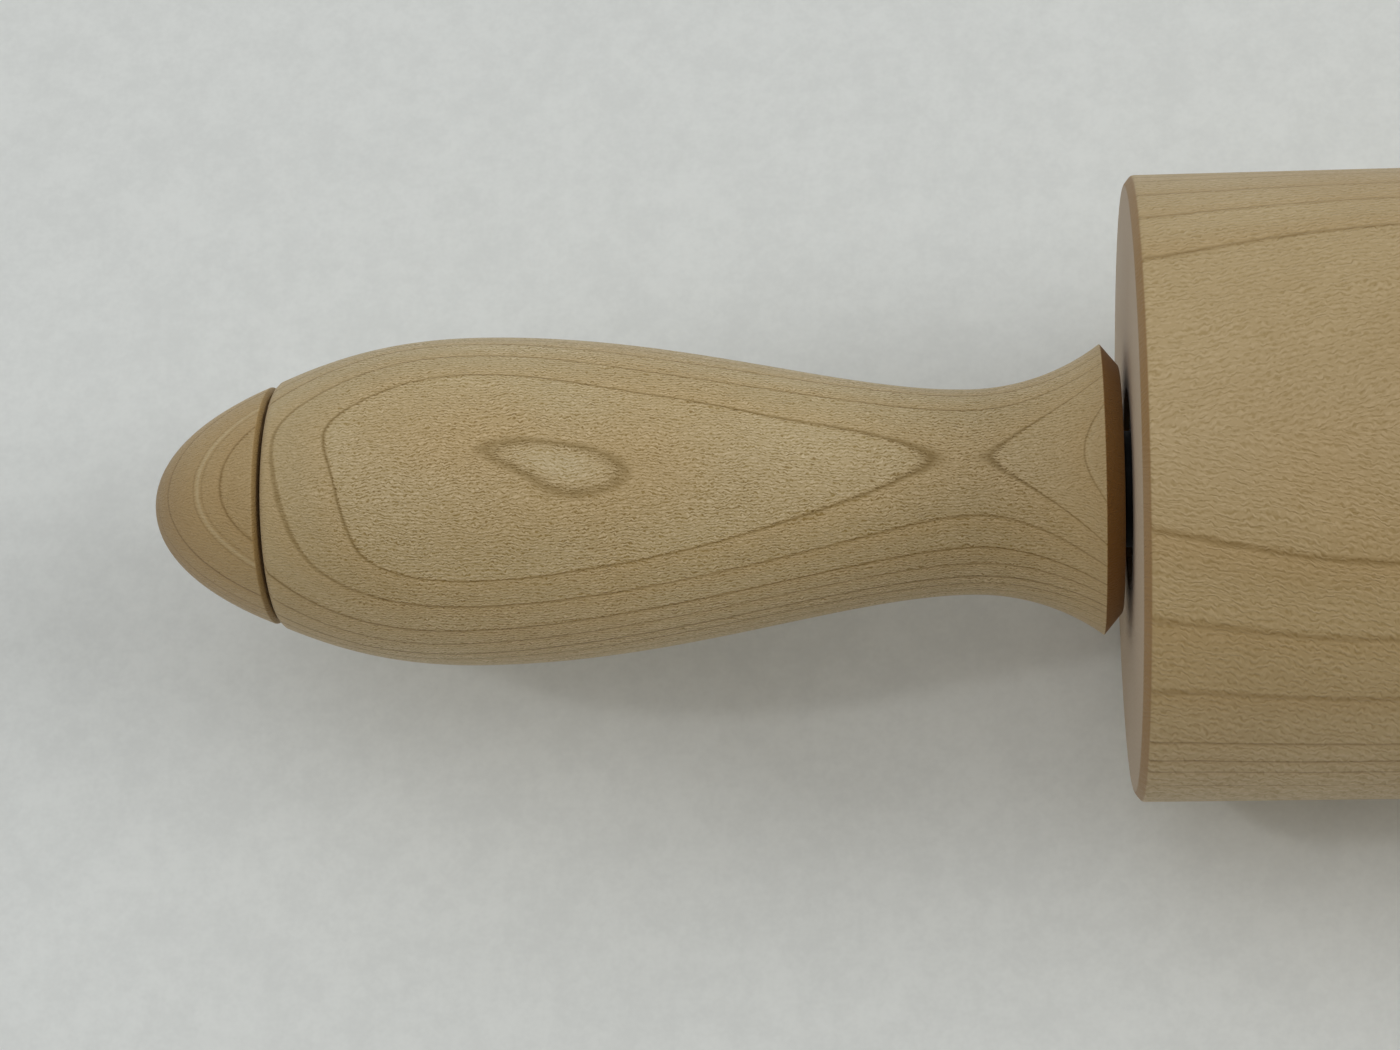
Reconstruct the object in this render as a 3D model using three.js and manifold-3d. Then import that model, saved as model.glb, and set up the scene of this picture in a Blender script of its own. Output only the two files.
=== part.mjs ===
// A wooden rolling pin with two turned handles.
//
// A steel rod runs right through it. The barrel spins on the rod in two sealed ball bearings, each
// handle turns on it in two flanged bushes, and a domed cap screwed to each end of the rod covers
// the nut that keeps the handle on. Millimetres, +Z up. The rod lies along X, and the barrel rests
// on the plane Z = 0, over the origin.

import * as THREE from 'three';
import { mergeVertices } from 'three/addons/utils/BufferGeometryUtils.js';
import Module from 'manifold-3d';

const wasm = await Module();
wasm.setup();

// Fits shared by several pieces
const FIT_CLEARANCE = 0.1;
const RUNNING_CLEARANCE = 0.1;
const FACE_CLEARANCE = 0.1;

// Barrel
const BARREL_DIAMETER = 69.85;
const BARREL_LENGTH = 304.8;
const BARREL_EDGE_CHAMFER = 1.06;
const BARREL_BORE_CLEARANCE = 1;

// Rod: a stout middle, stepped down to a journal with a threaded tip at each end
const JOURNAL_DIAMETER = 8;
const ROD_SHOULDER = 1;
const ROD_TIP_CHAMFER = 0.8;
const ROD_TIP_GAP = 1;

// Ball bearings, of the common 8 x 22 x 7 size
const BALL_DIAMETER = 3.97;
const BALL_COUNT = 7;
const INNER_RACE_WALL = 1.265;
const OUTER_RACE_WALL = 1.365;
const RACE_GROOVE_DEPTH = 0.55;
const RACE_CLEARANCE = 0.15;
const RING_EDGE_CHAMFER = 0.35;
const CAGE_WEB = 0.6;
const CAGE_LIP = 1.2;
const CAGE_CLEARANCE = 0.6;
const POCKET_CLEARANCE = 0.1;
const SEAL_THICKNESS = 0.5;
const SEAL_STEP = 0.4;
const SEAL_LIP_CLEARANCE = 0.2;
const SEAL_SIDE_CLEARANCE = 0.2;
const SEAL_INSET = 0.115;
const BEARING_RECESS = 0.6;

// Thrust washer between a bearing's inner ring and its handle
const THRUST_WASHER_WIDTH = 2.4;
const THRUST_WASHER_THICKNESS = 1;

// Flanged bushes, two in each handle
const BUSH_WALL = 1.9;
const BUSH_LENGTH = 14;
const BUSH_LEAD_IN = 0.5;
const BUSH_FLANGE_WIDTH = 2;
const BUSH_FLANGE_THICKNESS = 1.5;
const BUSH_FLANGE_PROUD = 0.26;

// Handle, with its places measured from the face beside the barrel
const HANDLE_LENGTH = 94.6;
const FLARE_DIAMETER = 32.5;
const FLARE_CHAMFER_LENGTH = 2.09;
const FLARE_CHAMFER_DEPTH = 2.5;
const NECK_DIAMETER = 23;
const NECK_PLACE = 16.7;
const GRIP_DIAMETER = 37.1;
const GRIP_PLACE = 71.8;
const HANDLE_END_DIAMETER = 28.2;
const HANDLE_EDGE_CHAMFER = 0.45;
const HANDLE_BORE_CLEARANCE = 1;

// How the handle's curves leave and meet their stations: slopes, and pulls as shares of a curve's length
const FLARE_SLOPE = 0.75;
const HANDLE_END_SLOPE = 0.42;
const FLARE_PULL = 0.21;
const NECK_PULL_TO_FLARE = 0.45;
const NECK_PULL_TO_GRIP = 0.26;
const GRIP_PULL_TO_NECK = 0.41;
const GRIP_PULL_TO_END = 0.385;
const HANDLE_END_PULL = 0.32;

// Nut and washer, in a pocket in the handle's outer end
const NUT_WALL = 2.5;
const NUT_HEIGHT = 6.5;
const NUT_FACE_SHARE = 0.95;
const NUT_CHAMFER_ANGLE = Math.PI / 6;
const NUT_WASHER_WIDTH = 3.9;
const NUT_WASHER_THICKNESS = 1.6;
const NUT_POCKET_CLEARANCE = 1.5;
const HANDLE_END_FLOAT = 0.4;
const THREAD_CLEARANCE = 0.1;

// End cap, with its tenon in the handle's pocket and a threaded insert for the rod
const CAP_LENGTH = 14.18;
const CAP_DIAMETER = 27;
const CAP_RIM_CHAMFER = 0.5;
const CAP_GAP = 0.5;
const CAP_TENON_LENGTH = 4;
const CAP_TENON_CLEARANCE = 0.4;
const CAP_CROWN = 6.2;
const CAP_BASE_SLOPE = 0.4;
const CAP_BASE_PULL = 0.386;
const CAP_TIP_PULL = 0.517;
const INSERT_WALL = 1.9;
const INSERT_GROOVE_WIDTH = 2.4;
const INSERT_GROOVE_DEPTH = 0.6;

// Flat sides that stand for round ones
const BARREL_FACETS = 48;
const HANDLE_FACETS = 30;
const BEARING_FACETS = 21;
const SMALL_FACETS = 16;
const CAGE_FACETS_PER_BALL = 2;
const NUT_BLANK_FACETS = 24;
const HANDLE_CURVE_STEPS = 6;
const DOME_STEPS = 10;
const GROOVE_STEPS = 4;
const BALL_MERIDIANS = 8;
const BALL_PARALLELS = 6;

// Radii that pieces share
const barrelRadius = BARREL_DIAMETER / 2;
const journalRadius = JOURNAL_DIAMETER / 2;
const rodRadius = journalRadius + ROD_SHOULDER;
const ballRadius = BALL_DIAMETER / 2;
const innerRingBore = journalRadius + FIT_CLEARANCE;
const pitchRadius = innerRingBore + INNER_RACE_WALL + RACE_CLEARANCE + ballRadius;
const grooveRadius = ballRadius + RACE_CLEARANCE;
const innerShoulder = pitchRadius - grooveRadius + RACE_GROOVE_DEPTH;
const outerShoulder = pitchRadius + grooveRadius - RACE_GROOVE_DEPTH;
const bearingRadius = pitchRadius + grooveRadius + OUTER_RACE_WALL;
const pocketRadius = ballRadius + POCKET_CLEARANCE;
const runningBore = journalRadius + RUNNING_CLEARANCE;
const threadBore = journalRadius + THREAD_CLEARANCE;
const bushRadius = runningBore + BUSH_WALL;
const flangeRadius = bushRadius + BUSH_FLANGE_WIDTH;
const nutWasherRadius = runningBore + NUT_WASHER_WIDTH;
const nutFlat = journalRadius + NUT_WALL;
const nutCorner = nutFlat / Math.cos(Math.PI / 6);
const nutPocketRadius = Math.max(nutCorner, nutWasherRadius, flangeRadius) + NUT_POCKET_CLEARANCE;
const insertRadius = threadBore + INSERT_WALL;

// Bearing places, from its middle plane
const cageBack = ballRadius + POCKET_CLEARANCE + CAGE_WEB;
const sealBack = cageBack + SEAL_SIDE_CLEARANCE;
const sealFront = sealBack + SEAL_THICKNESS;
const bearingHalf = sealFront + SEAL_INSET;

// Places along one end of the pin, outwards from the barrel's end face
const bearingMiddle = -BEARING_RECESS - bearingHalf;
const rodShoulder = bearingMiddle - bearingHalf - FACE_CLEARANCE;
const thrustWasherStart = -BEARING_RECESS + FACE_CLEARANCE;
const innerFlangeFace = thrustWasherStart + THRUST_WASHER_THICKNESS + FACE_CLEARANCE;
const handleStart = innerFlangeFace + BUSH_FLANGE_PROUD;
const handleEnd = handleStart + HANDLE_LENGTH;
const capBack = handleEnd + CAP_GAP;
const tenonEnd = capBack - CAP_TENON_LENGTH;
const nutStart = tenonEnd - FACE_CLEARANCE - NUT_HEIGHT;
const nutWasherStart = nutStart - FACE_CLEARANCE - NUT_WASHER_THICKNESS;
const outerFlangeFace = nutWasherStart - HANDLE_END_FLOAT;
const insertLength = CAP_TENON_LENGTH + CAP_LENGTH - CAP_CROWN - FIT_CLEARANCE;
const rodTip = tenonEnd + insertLength - ROD_TIP_GAP;

// The barrel rests on one of its flat sides
const axisHeight = barrelRadius * Math.cos(Math.PI / BARREL_FACETS);

const maple = new THREE.MeshStandardMaterial({ color: 0xb69c72, roughness: 0.55, metalness: 0 });
const steel = new THREE.MeshStandardMaterial({ color: 0xa9adb0, roughness: 0.35, metalness: 1 });
const ballSteel = new THREE.MeshStandardMaterial({ color: 0xc9cccf, roughness: 0.12, metalness: 1 });
const brass = new THREE.MeshStandardMaterial({ color: 0xb08d4c, roughness: 0.4, metalness: 1 });
const nylon = new THREE.MeshStandardMaterial({ color: 0xd8d6cc, roughness: 0.5, metalness: 0 });
const blackNylon = new THREE.MeshStandardMaterial({ color: 0x343436, roughness: 0.46, metalness: 0 });
const rubber = new THREE.MeshStandardMaterial({ color: 0x23211f, roughness: 0.7, metalness: 0 });

// A solid turned about X. The outline holds [along, radius] points, running towards +X on the
// outside. It starts and ends on the axis, or else is closed back to its first point.
function turned(outline, facets) {
  const startsOnAxis = outline[0][1] === 0;
  const closed = startsOnAxis ? outline : [...outline, outline[0]];
  const profile = closed.map(([along, radius]) => new THREE.Vector2(radius, along));
  return new THREE.LatheGeometry(profile, facets, Math.PI / facets).rotateZ(-Math.PI / 2);
}

// A plain round tube about X.
function tube(start, end, innerRadius, outerRadius, facets) {
  return turned([
    [start, innerRadius],
    [start, outerRadius],
    [end, outerRadius],
    [end, innerRadius],
  ], facets);
}

function solidOf(geometry) {
  const bare = geometry.clone();
  bare.deleteAttribute('normal');
  bare.deleteAttribute('uv');
  const merged = mergeVertices(bare);
  const mesh = new wasm.Mesh({
    numProp: 3,
    vertProperties: merged.attributes.position.array,
    triVerts: new Uint32Array(merged.index.array),
  });
  return new wasm.Manifold(mesh);
}

function geometryOf(solid) {
  const mesh = solid.getMesh();
  const geometry = new THREE.BufferGeometry();
  geometry.setAttribute('position', new THREE.BufferAttribute(mesh.vertProperties, 3));
  geometry.setIndex(new THREE.BufferAttribute(mesh.triVerts, 1));
  geometry.computeVertexNormals();
  return geometry;
}

function piece(name, geometry, material, along = 0) {
  const mesh = new THREE.Mesh(geometry, material);
  mesh.name = name;
  mesh.position.x = along;
  return mesh;
}

// Barrel, bored through for the rod and counterbored at both ends for the bearings.
function barrelGeometry() {
  const half = BARREL_LENGTH / 2;
  const edge = half - BARREL_EDGE_CHAMFER;
  const rim = barrelRadius - BARREL_EDGE_CHAMFER;
  const seat = half + rodShoulder;
  const seatRadius = bearingRadius + FIT_CLEARANCE;
  const bore = rodRadius + BARREL_BORE_CLEARANCE;
  return turned([
    [-seat, bore],
    [-seat, seatRadius],
    [-half, seatRadius],
    [-half, rim],
    [-edge, barrelRadius],
    [edge, barrelRadius],
    [half, rim],
    [half, seatRadius],
    [seat, seatRadius],
    [seat, bore],
  ], BARREL_FACETS);
}

function rodGeometry() {
  const shoulder = BARREL_LENGTH / 2 + rodShoulder;
  const tip = BARREL_LENGTH / 2 + rodTip;
  const tipRadius = journalRadius - ROD_TIP_CHAMFER;
  return turned([
    [-tip, 0],
    [-tip, tipRadius],
    [-tip + ROD_TIP_CHAMFER, journalRadius],
    [-shoulder, journalRadius],
    [-shoulder, rodRadius],
    [shoulder, rodRadius],
    [shoulder, journalRadius],
    [tip - ROD_TIP_CHAMFER, journalRadius],
    [tip, tipRadius],
    [tip, 0],
  ], SMALL_FACETS);
}

// The round bottom of a race, as [along, radius] points towards +X. It bulges to the inner ring's
// side with side -1 and to the outer ring's with side 1.
function raceGroove(side) {
  const halfAngle = Math.acos((grooveRadius - RACE_GROOVE_DEPTH) / grooveRadius);
  const points = [];
  for (let step = 0; step <= GROOVE_STEPS; step += 1) {
    const angle = halfAngle * ((2 * step) / GROOVE_STEPS - 1);
    points.push([grooveRadius * Math.sin(angle), pitchRadius + side * grooveRadius * Math.cos(angle)]);
  }
  return points;
}

function innerRingGeometry() {
  return turned([
    [-bearingHalf, innerRingBore],
    [-bearingHalf, innerShoulder],
    ...raceGroove(-1),
    [bearingHalf, innerShoulder],
    [bearingHalf, innerRingBore],
  ], BEARING_FACETS);
}

function outerRingGeometry() {
  const step = sealBack - FIT_CLEARANCE;
  const stepRadius = outerShoulder + SEAL_STEP;
  const edge = bearingHalf - RING_EDGE_CHAMFER;
  const edgeRadius = bearingRadius - RING_EDGE_CHAMFER;
  return turned([
    [-bearingHalf, edgeRadius],
    [-edge, bearingRadius],
    [edge, bearingRadius],
    [bearingHalf, edgeRadius],
    [bearingHalf, stepRadius],
    [step, stepRadius],
    [step, outerShoulder],
    ...raceGroove(1).reverse(),
    [-step, outerShoulder],
    [-step, stepRadius],
    [-bearingHalf, stepRadius],
  ], BEARING_FACETS);
}

function ballGeometry(radius) {
  return new THREE.SphereGeometry(radius, BALL_MERIDIANS, BALL_PARALLELS);
}

// Crown cage: a web on one side of the balls, with pockets that the balls snap into from the other.
function cageGeometry() {
  const inside = innerShoulder + CAGE_CLEARANCE;
  const outside = outerShoulder - CAGE_CLEARANCE;
  let cage = solidOf(tube(-cageBack, CAGE_LIP, inside, outside, CAGE_FACETS_PER_BALL * BALL_COUNT));
  for (let index = 0; index < BALL_COUNT; index += 1) {
    const pocket = ballGeometry(pocketRadius).translate(0, 0, pitchRadius);
    cage = cage.subtract(solidOf(pocket.rotateX(ballAngle(index))));
  }
  return geometryOf(cage);
}

function ballAngle(index) {
  return (2 * Math.PI * index) / BALL_COUNT;
}

function sealGeometry() {
  const outside = outerShoulder + SEAL_STEP - FIT_CLEARANCE;
  return tube(sealBack, sealFront, innerShoulder + SEAL_LIP_CLEARANCE, outside, BEARING_FACETS);
}

// One whole bearing about its middle plane, with its cage's web on the inner side.
function bearing(side) {
  const group = new THREE.Group();
  group.add(piece(`bearing_outer_ring_${side}`, outerRingGeometry(), steel));
  group.add(piece(`bearing_inner_ring_${side}`, innerRingGeometry(), steel));
  group.add(piece(`bearing_cage_${side}`, cageGeometry(), nylon));
  for (let index = 0; index < BALL_COUNT; index += 1) {
    const spoke = new THREE.Group();
    spoke.rotation.x = ballAngle(index);
    const ball = piece(`bearing_ball_${side}_${index + 1}`, ballGeometry(ballRadius), ballSteel);
    ball.position.z = pitchRadius;
    spoke.add(ball);
    group.add(spoke);
  }
  group.add(piece(`bearing_seal_outside_${side}`, sealGeometry(), rubber));
  const insideSeal = piece(`bearing_seal_inside_${side}`, sealGeometry(), rubber);
  insideSeal.rotation.y = Math.PI;
  group.add(insideSeal);
  group.position.x = bearingMiddle;
  return group;
}

function thrustWasherGeometry() {
  return tube(0, THRUST_WASHER_THICKNESS, runningBore, runningBore + THRUST_WASHER_WIDTH, SMALL_FACETS);
}

// Flanged bush, with the flange's face at 0 and the sleeve, chamfered to lead it in, towards +X.
function bushGeometry() {
  const end = BUSH_FLANGE_THICKNESS + BUSH_LENGTH;
  return turned([
    [0, runningBore],
    [0, flangeRadius],
    [BUSH_FLANGE_THICKNESS, flangeRadius],
    [BUSH_FLANGE_THICKNESS, bushRadius],
    [end - BUSH_LEAD_IN, bushRadius],
    [end, bushRadius - BUSH_LEAD_IN],
    [end, runningBore],
  ], SMALL_FACETS);
}

// The handle's turned outside, from its face beside the barrel to its outer end.
function handleOutline() {
  const flareRadius = FLARE_DIAMETER / 2;
  const neckRadius = NECK_DIAMETER / 2;
  const gripRadius = GRIP_DIAMETER / 2;
  const endRadius = HANDLE_END_DIAMETER / 2;
  const endPlace = HANDLE_LENGTH - HANDLE_EDGE_CHAMFER;
  const flareSpan = NECK_PLACE - FLARE_CHAMFER_LENGTH;
  const gripSpan = GRIP_PLACE - NECK_PLACE;
  const endSpan = endPlace - GRIP_PLACE;
  const flarePull = FLARE_PULL * flareSpan;
  const endPull = HANDLE_END_PULL * endSpan;
  const path = new THREE.Path();
  path.moveTo(0, flareRadius - FLARE_CHAMFER_DEPTH);
  path.lineTo(FLARE_CHAMFER_LENGTH, flareRadius);
  path.bezierCurveTo(
    FLARE_CHAMFER_LENGTH + flarePull, flareRadius - FLARE_SLOPE * flarePull,
    NECK_PLACE - NECK_PULL_TO_FLARE * flareSpan, neckRadius,
    NECK_PLACE, neckRadius,
  );
  path.bezierCurveTo(
    NECK_PLACE + NECK_PULL_TO_GRIP * gripSpan, neckRadius,
    GRIP_PLACE - GRIP_PULL_TO_NECK * gripSpan, gripRadius,
    GRIP_PLACE, gripRadius,
  );
  path.bezierCurveTo(
    GRIP_PLACE + GRIP_PULL_TO_END * endSpan, gripRadius,
    endPlace - endPull, endRadius + HANDLE_END_SLOPE * endPull,
    endPlace, endRadius,
  );
  path.lineTo(HANDLE_LENGTH, endRadius - HANDLE_EDGE_CHAMFER);
  return path.getPoints(HANDLE_CURVE_STEPS).map((point) => [point.x, point.y]);
}

// Handle, bored through, with a seat for a bush at each end and the nut's pocket beyond the outer one.
function handleGeometry() {
  const spotRadius = flangeRadius + FIT_CLEARANCE;
  const seatRadius = bushRadius + FIT_CLEARANCE;
  const bore = runningBore + HANDLE_BORE_CLEARANCE;
  const seatDepth = BUSH_LENGTH + FIT_CLEARANCE;
  const spotFloor = innerFlangeFace + BUSH_FLANGE_THICKNESS + FIT_CLEARANCE - handleStart;
  const pocketFloor = outerFlangeFace - BUSH_FLANGE_THICKNESS - FIT_CLEARANCE - handleStart;
  return turned([
    ...handleOutline(),
    [HANDLE_LENGTH, nutPocketRadius],
    [pocketFloor, nutPocketRadius],
    [pocketFloor, seatRadius],
    [pocketFloor - seatDepth, seatRadius],
    [pocketFloor - seatDepth, bore],
    [spotFloor + seatDepth, bore],
    [spotFloor + seatDepth, seatRadius],
    [spotFloor, seatRadius],
    [spotFloor, spotRadius],
    [0, spotRadius],
  ], HANDLE_FACETS);
}

function nutWasherGeometry() {
  return tube(0, NUT_WASHER_THICKNESS, runningBore, nutWasherRadius, SMALL_FACETS);
}

// Hexagon nut: a pierced prism, its corners turned off at both ends.
function nutGeometry() {
  const corners = [];
  for (let corner = 0; corner < 6; corner += 1) {
    const angle = (Math.PI / 3) * corner;
    corners.push(new THREE.Vector2(nutCorner * Math.cos(angle), nutCorner * Math.sin(angle)));
  }
  const outline = new THREE.Shape(corners);
  outline.holes.push(new THREE.Path().absarc(0, 0, threadBore, 0, 2 * Math.PI));
  const settings = { depth: NUT_HEIGHT, bevelEnabled: false, curveSegments: SMALL_FACETS / 2 };
  const prism = new THREE.ExtrudeGeometry(outline, settings).rotateY(Math.PI / 2);
  const faceRadius = nutFlat * NUT_FACE_SHARE;
  const blankRadius = nutCorner / Math.cos(Math.PI / NUT_BLANK_FACETS);
  const fall = (blankRadius - faceRadius) * Math.tan(NUT_CHAMFER_ANGLE);
  const blank = turned([
    [0, 0],
    [0, faceRadius],
    [fall, blankRadius],
    [NUT_HEIGHT - fall, blankRadius],
    [NUT_HEIGHT, faceRadius],
    [NUT_HEIGHT, 0],
  ], NUT_BLANK_FACETS);
  return geometryOf(solidOf(prism).intersect(solidOf(blank)));
}

// End cap, with its back face at 0: a dome towards +X, and a tenon with the insert's hole behind it.
function capGeometry() {
  const rimRadius = CAP_DIAMETER / 2;
  const domeSpan = CAP_LENGTH - CAP_RIM_CHAMFER;
  const basePull = CAP_BASE_PULL * domeSpan;
  const path = new THREE.Path();
  path.moveTo(CAP_RIM_CHAMFER, rimRadius);
  path.bezierCurveTo(
    CAP_RIM_CHAMFER + basePull, rimRadius - CAP_BASE_SLOPE * basePull,
    CAP_LENGTH, CAP_TIP_PULL * rimRadius,
    CAP_LENGTH, 0,
  );
  const dome = path.getPoints(DOME_STEPS).map((point) => [point.x, point.y]);
  const holeRadius = insertRadius + FIT_CLEARANCE;
  const holeFloor = CAP_LENGTH - CAP_CROWN;
  const tenonRadius = nutPocketRadius - CAP_TENON_CLEARANCE;
  return turned([
    [holeFloor, 0],
    [holeFloor, holeRadius],
    [-CAP_TENON_LENGTH, holeRadius],
    [-CAP_TENON_LENGTH, tenonRadius],
    [0, tenonRadius],
    [0, rimRadius - CAP_RIM_CHAMFER],
    ...dome,
  ], HANDLE_FACETS);
}

// Threaded insert: a sleeve with a groove round its waist that the glue keys into.
function insertGeometry() {
  const grooveStart = (insertLength - INSERT_GROOVE_WIDTH) / 2;
  const grooveEnd = grooveStart + INSERT_GROOVE_WIDTH;
  const waist = insertRadius - INSERT_GROOVE_DEPTH;
  return turned([
    [0, threadBore],
    [0, insertRadius],
    [grooveStart, insertRadius],
    [grooveStart, waist],
    [grooveEnd, waist],
    [grooveEnd, insertRadius],
    [insertLength, insertRadius],
    [insertLength, threadBore],
  ], SMALL_FACETS);
}

// Everything beyond the barrel at one end, and the bearing inside it, outwards along +X from the
// barrel's end face.
function pinEnd(side) {
  const group = new THREE.Group();
  const outerBush = piece(`handle_bush_outer_${side}`, bushGeometry(), blackNylon, outerFlangeFace);
  outerBush.rotation.y = Math.PI;
  group.add(
    bearing(side),
    piece(`thrust_washer_${side}`, thrustWasherGeometry(), blackNylon, thrustWasherStart),
    piece(`handle_bush_inner_${side}`, bushGeometry(), blackNylon, innerFlangeFace),
    piece(`handle_${side}`, handleGeometry(), maple, handleStart),
    outerBush,
    piece(`nut_washer_${side}`, nutWasherGeometry(), steel, nutWasherStart),
    piece(`lock_nut_${side}`, nutGeometry(), steel, nutStart),
    piece(`cap_insert_${side}`, insertGeometry(), brass, tenonEnd),
    piece(`end_cap_${side}`, capGeometry(), maple, capBack),
  );
  return group;
}

const axis = new THREE.Group();
axis.position.z = axisHeight;
axis.add(piece('barrel', barrelGeometry(), maple));
axis.add(piece('axle_rod', rodGeometry(), steel));
for (const [side, turn] of [['left', Math.PI], ['right', 0]]) {
  const end = pinEnd(side);
  end.rotation.z = turn;
  end.position.x = Math.cos(turn) * (BARREL_LENGTH / 2);
  axis.add(end);
}

const rollingPin = new THREE.Group();
rollingPin.add(axis);

export default rollingPin;
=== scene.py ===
"""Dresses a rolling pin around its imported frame: turned maple, steel, nylon, rubber and brass.

Sizes are in millimetres until a mesh is made, and in metres from there on. At each end of the pin,
places along the rod are measured outwards from the barrel's end face.
"""

from __future__ import annotations

import logging
import math
from collections.abc import Sequence
from dataclasses import dataclass
from enum import Enum

import bmesh
import bpy
from mathutils import Matrix, Vector

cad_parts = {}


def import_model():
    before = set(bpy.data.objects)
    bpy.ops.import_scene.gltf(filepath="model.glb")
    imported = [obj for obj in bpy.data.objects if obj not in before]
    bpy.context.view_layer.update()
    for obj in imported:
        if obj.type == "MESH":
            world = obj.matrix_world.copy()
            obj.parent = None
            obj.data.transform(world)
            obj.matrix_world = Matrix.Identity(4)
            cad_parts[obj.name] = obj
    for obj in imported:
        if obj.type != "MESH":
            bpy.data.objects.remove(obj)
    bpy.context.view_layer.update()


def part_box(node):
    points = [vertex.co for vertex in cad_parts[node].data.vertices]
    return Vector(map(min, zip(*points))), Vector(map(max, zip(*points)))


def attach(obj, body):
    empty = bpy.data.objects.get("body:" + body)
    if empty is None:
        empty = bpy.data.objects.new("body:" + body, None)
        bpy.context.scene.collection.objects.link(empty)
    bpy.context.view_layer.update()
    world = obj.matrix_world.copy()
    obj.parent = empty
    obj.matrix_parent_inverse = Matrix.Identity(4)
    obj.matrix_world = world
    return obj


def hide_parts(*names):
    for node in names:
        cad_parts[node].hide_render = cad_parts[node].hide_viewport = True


LOG = logging.getLogger("rolling_pin")

MM = 0.001
SHARP_EDGE = math.radians(32)
WELD_DISTANCE = 1e-6
NO_FLATS = 1000.0
CORNER_STEPS = 4
CORNER_SHARE = 0.45

Point = tuple[float, float]
Place = tuple[float, float, float]
Colour = tuple[float, float, float, float]


def rgb(red: float, green: float, blue: float) -> Colour:
    """An opaque colour from its linear red, green and blue."""
    return (red, green, blue, 1.0)


class Side(Enum):
    """One end of the pin, by the sign of its direction along X."""

    LEFT = -1
    RIGHT = 1

    def of(self, stem: str) -> str:
        """The name of this end's copy of a piece, node or body."""
        return f"{stem}_{self.name.lower()}"


@dataclass(frozen=True)
class Bench:
    """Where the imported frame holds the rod, the barrel's end faces and every node."""

    axis_height: float
    half_barrel: float
    barrel_radius: float

    @classmethod
    def from_frame(cls) -> Bench:
        """Reads the rod's height and the barrel's size from the frame."""
        low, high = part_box("barrel")
        return cls(
            axis_height=(low.z + high.z) / 2 / MM,
            half_barrel=(high.x - low.x) / 2 / MM,
            barrel_radius=(high.z - low.z) / 2 / MM,
        )

    @property
    def rod_middle(self) -> Place:
        """The middle of the rod, in millimetres."""
        return (0.0, 0.0, self.axis_height)

    def row_x(self, side: Side, along: float) -> float:
        """The X in millimetres of a place that is measured outwards from the barrel's end face."""
        return side.value * (self.half_barrel + along)

    def outward(self, side: Side, outline: Sequence[Point]) -> list[Point]:
        """An outline in the row's X, from one with places outwards from the barrel's end face."""
        return [(self.row_x(side, along), radius) for along, radius in outline]

    def span(self, side: Side, stem: str) -> Point:
        """The nearest and farthest place of a node, outwards from the barrel's end face.

        Args:
            side: The end of the pin that the node belongs to.
            stem: The node's name without its side.

        Returns:
            The two places in millimetres, the one nearer the barrel first.
        """
        low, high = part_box(side.of(stem))
        places = [side.value * x / MM - self.half_barrel for x in (low.x, high.x)]
        return min(places), max(places)


@dataclass(frozen=True)
class Corner:
    """One corner of a half section, and how far back along its edges it is softened."""

    along: float
    radius: float
    soften: float = 0.0


def softened(corners: Sequence[Corner]) -> list[Point]:
    """Rounds the corners of a half section. No corner takes up more than its share of an edge.

    Args:
        corners: The corners in order, closed back to the first one.

    Returns:
        The outline's points, in the same order.
    """
    points: list[Point] = []
    for index, corner in enumerate(corners):
        here = Vector((corner.along, corner.radius))
        before, after = corners[index - 1], corners[(index + 1) % len(corners)]
        back = Vector((before.along, before.radius)) - here
        ahead = Vector((after.along, after.radius)) - here
        reach = min(corner.soften, CORNER_SHARE * back.length, CORNER_SHARE * ahead.length)
        if reach <= 0.0:
            points.append((here.x, here.y))
            continue
        start = here + back.normalized() * reach
        end = here + ahead.normalized() * reach
        for step in range(CORNER_STEPS + 1):
            t = step / CORNER_STEPS
            place = start * (1 - t) ** 2 + here * (2 * t * (1 - t)) + end * t**2
            points.append((place.x, place.y))
    return points


def tube(start: float, end: float, bore: float, outside: float, soften: float) -> list[Point]:
    """The half section of a plain round tube with softened edges."""
    places = ((start, bore), (start, outside), (end, outside), (end, bore))
    return softened([Corner(along, radius, soften) for along, radius in places])


def bezier(start: Point, pull: Point, push: Point, end: Point, steps: int) -> list[Corner]:
    """Sharp corners along a cubic curve, without its start.

    Args:
        start: Where the curve begins.
        pull: The control point that it leaves towards.
        push: The control point that it arrives from.
        end: Where it ends.
        steps: The number of corners.

    Returns:
        The corners, ending with the curve's end.
    """
    corners: list[Corner] = []
    for step in range(1, steps + 1):
        t = step / steps
        shares = ((1 - t) ** 3, 3 * t * (1 - t) ** 2, 3 * t**2 * (1 - t), t**3)
        along = sum(share * point[0] for share, point in zip(shares, (start, pull, push, end)))
        radius = sum(share * point[1] for share, point in zip(shares, (start, pull, push, end)))
        corners.append(Corner(along, radius))
    return corners


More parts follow.
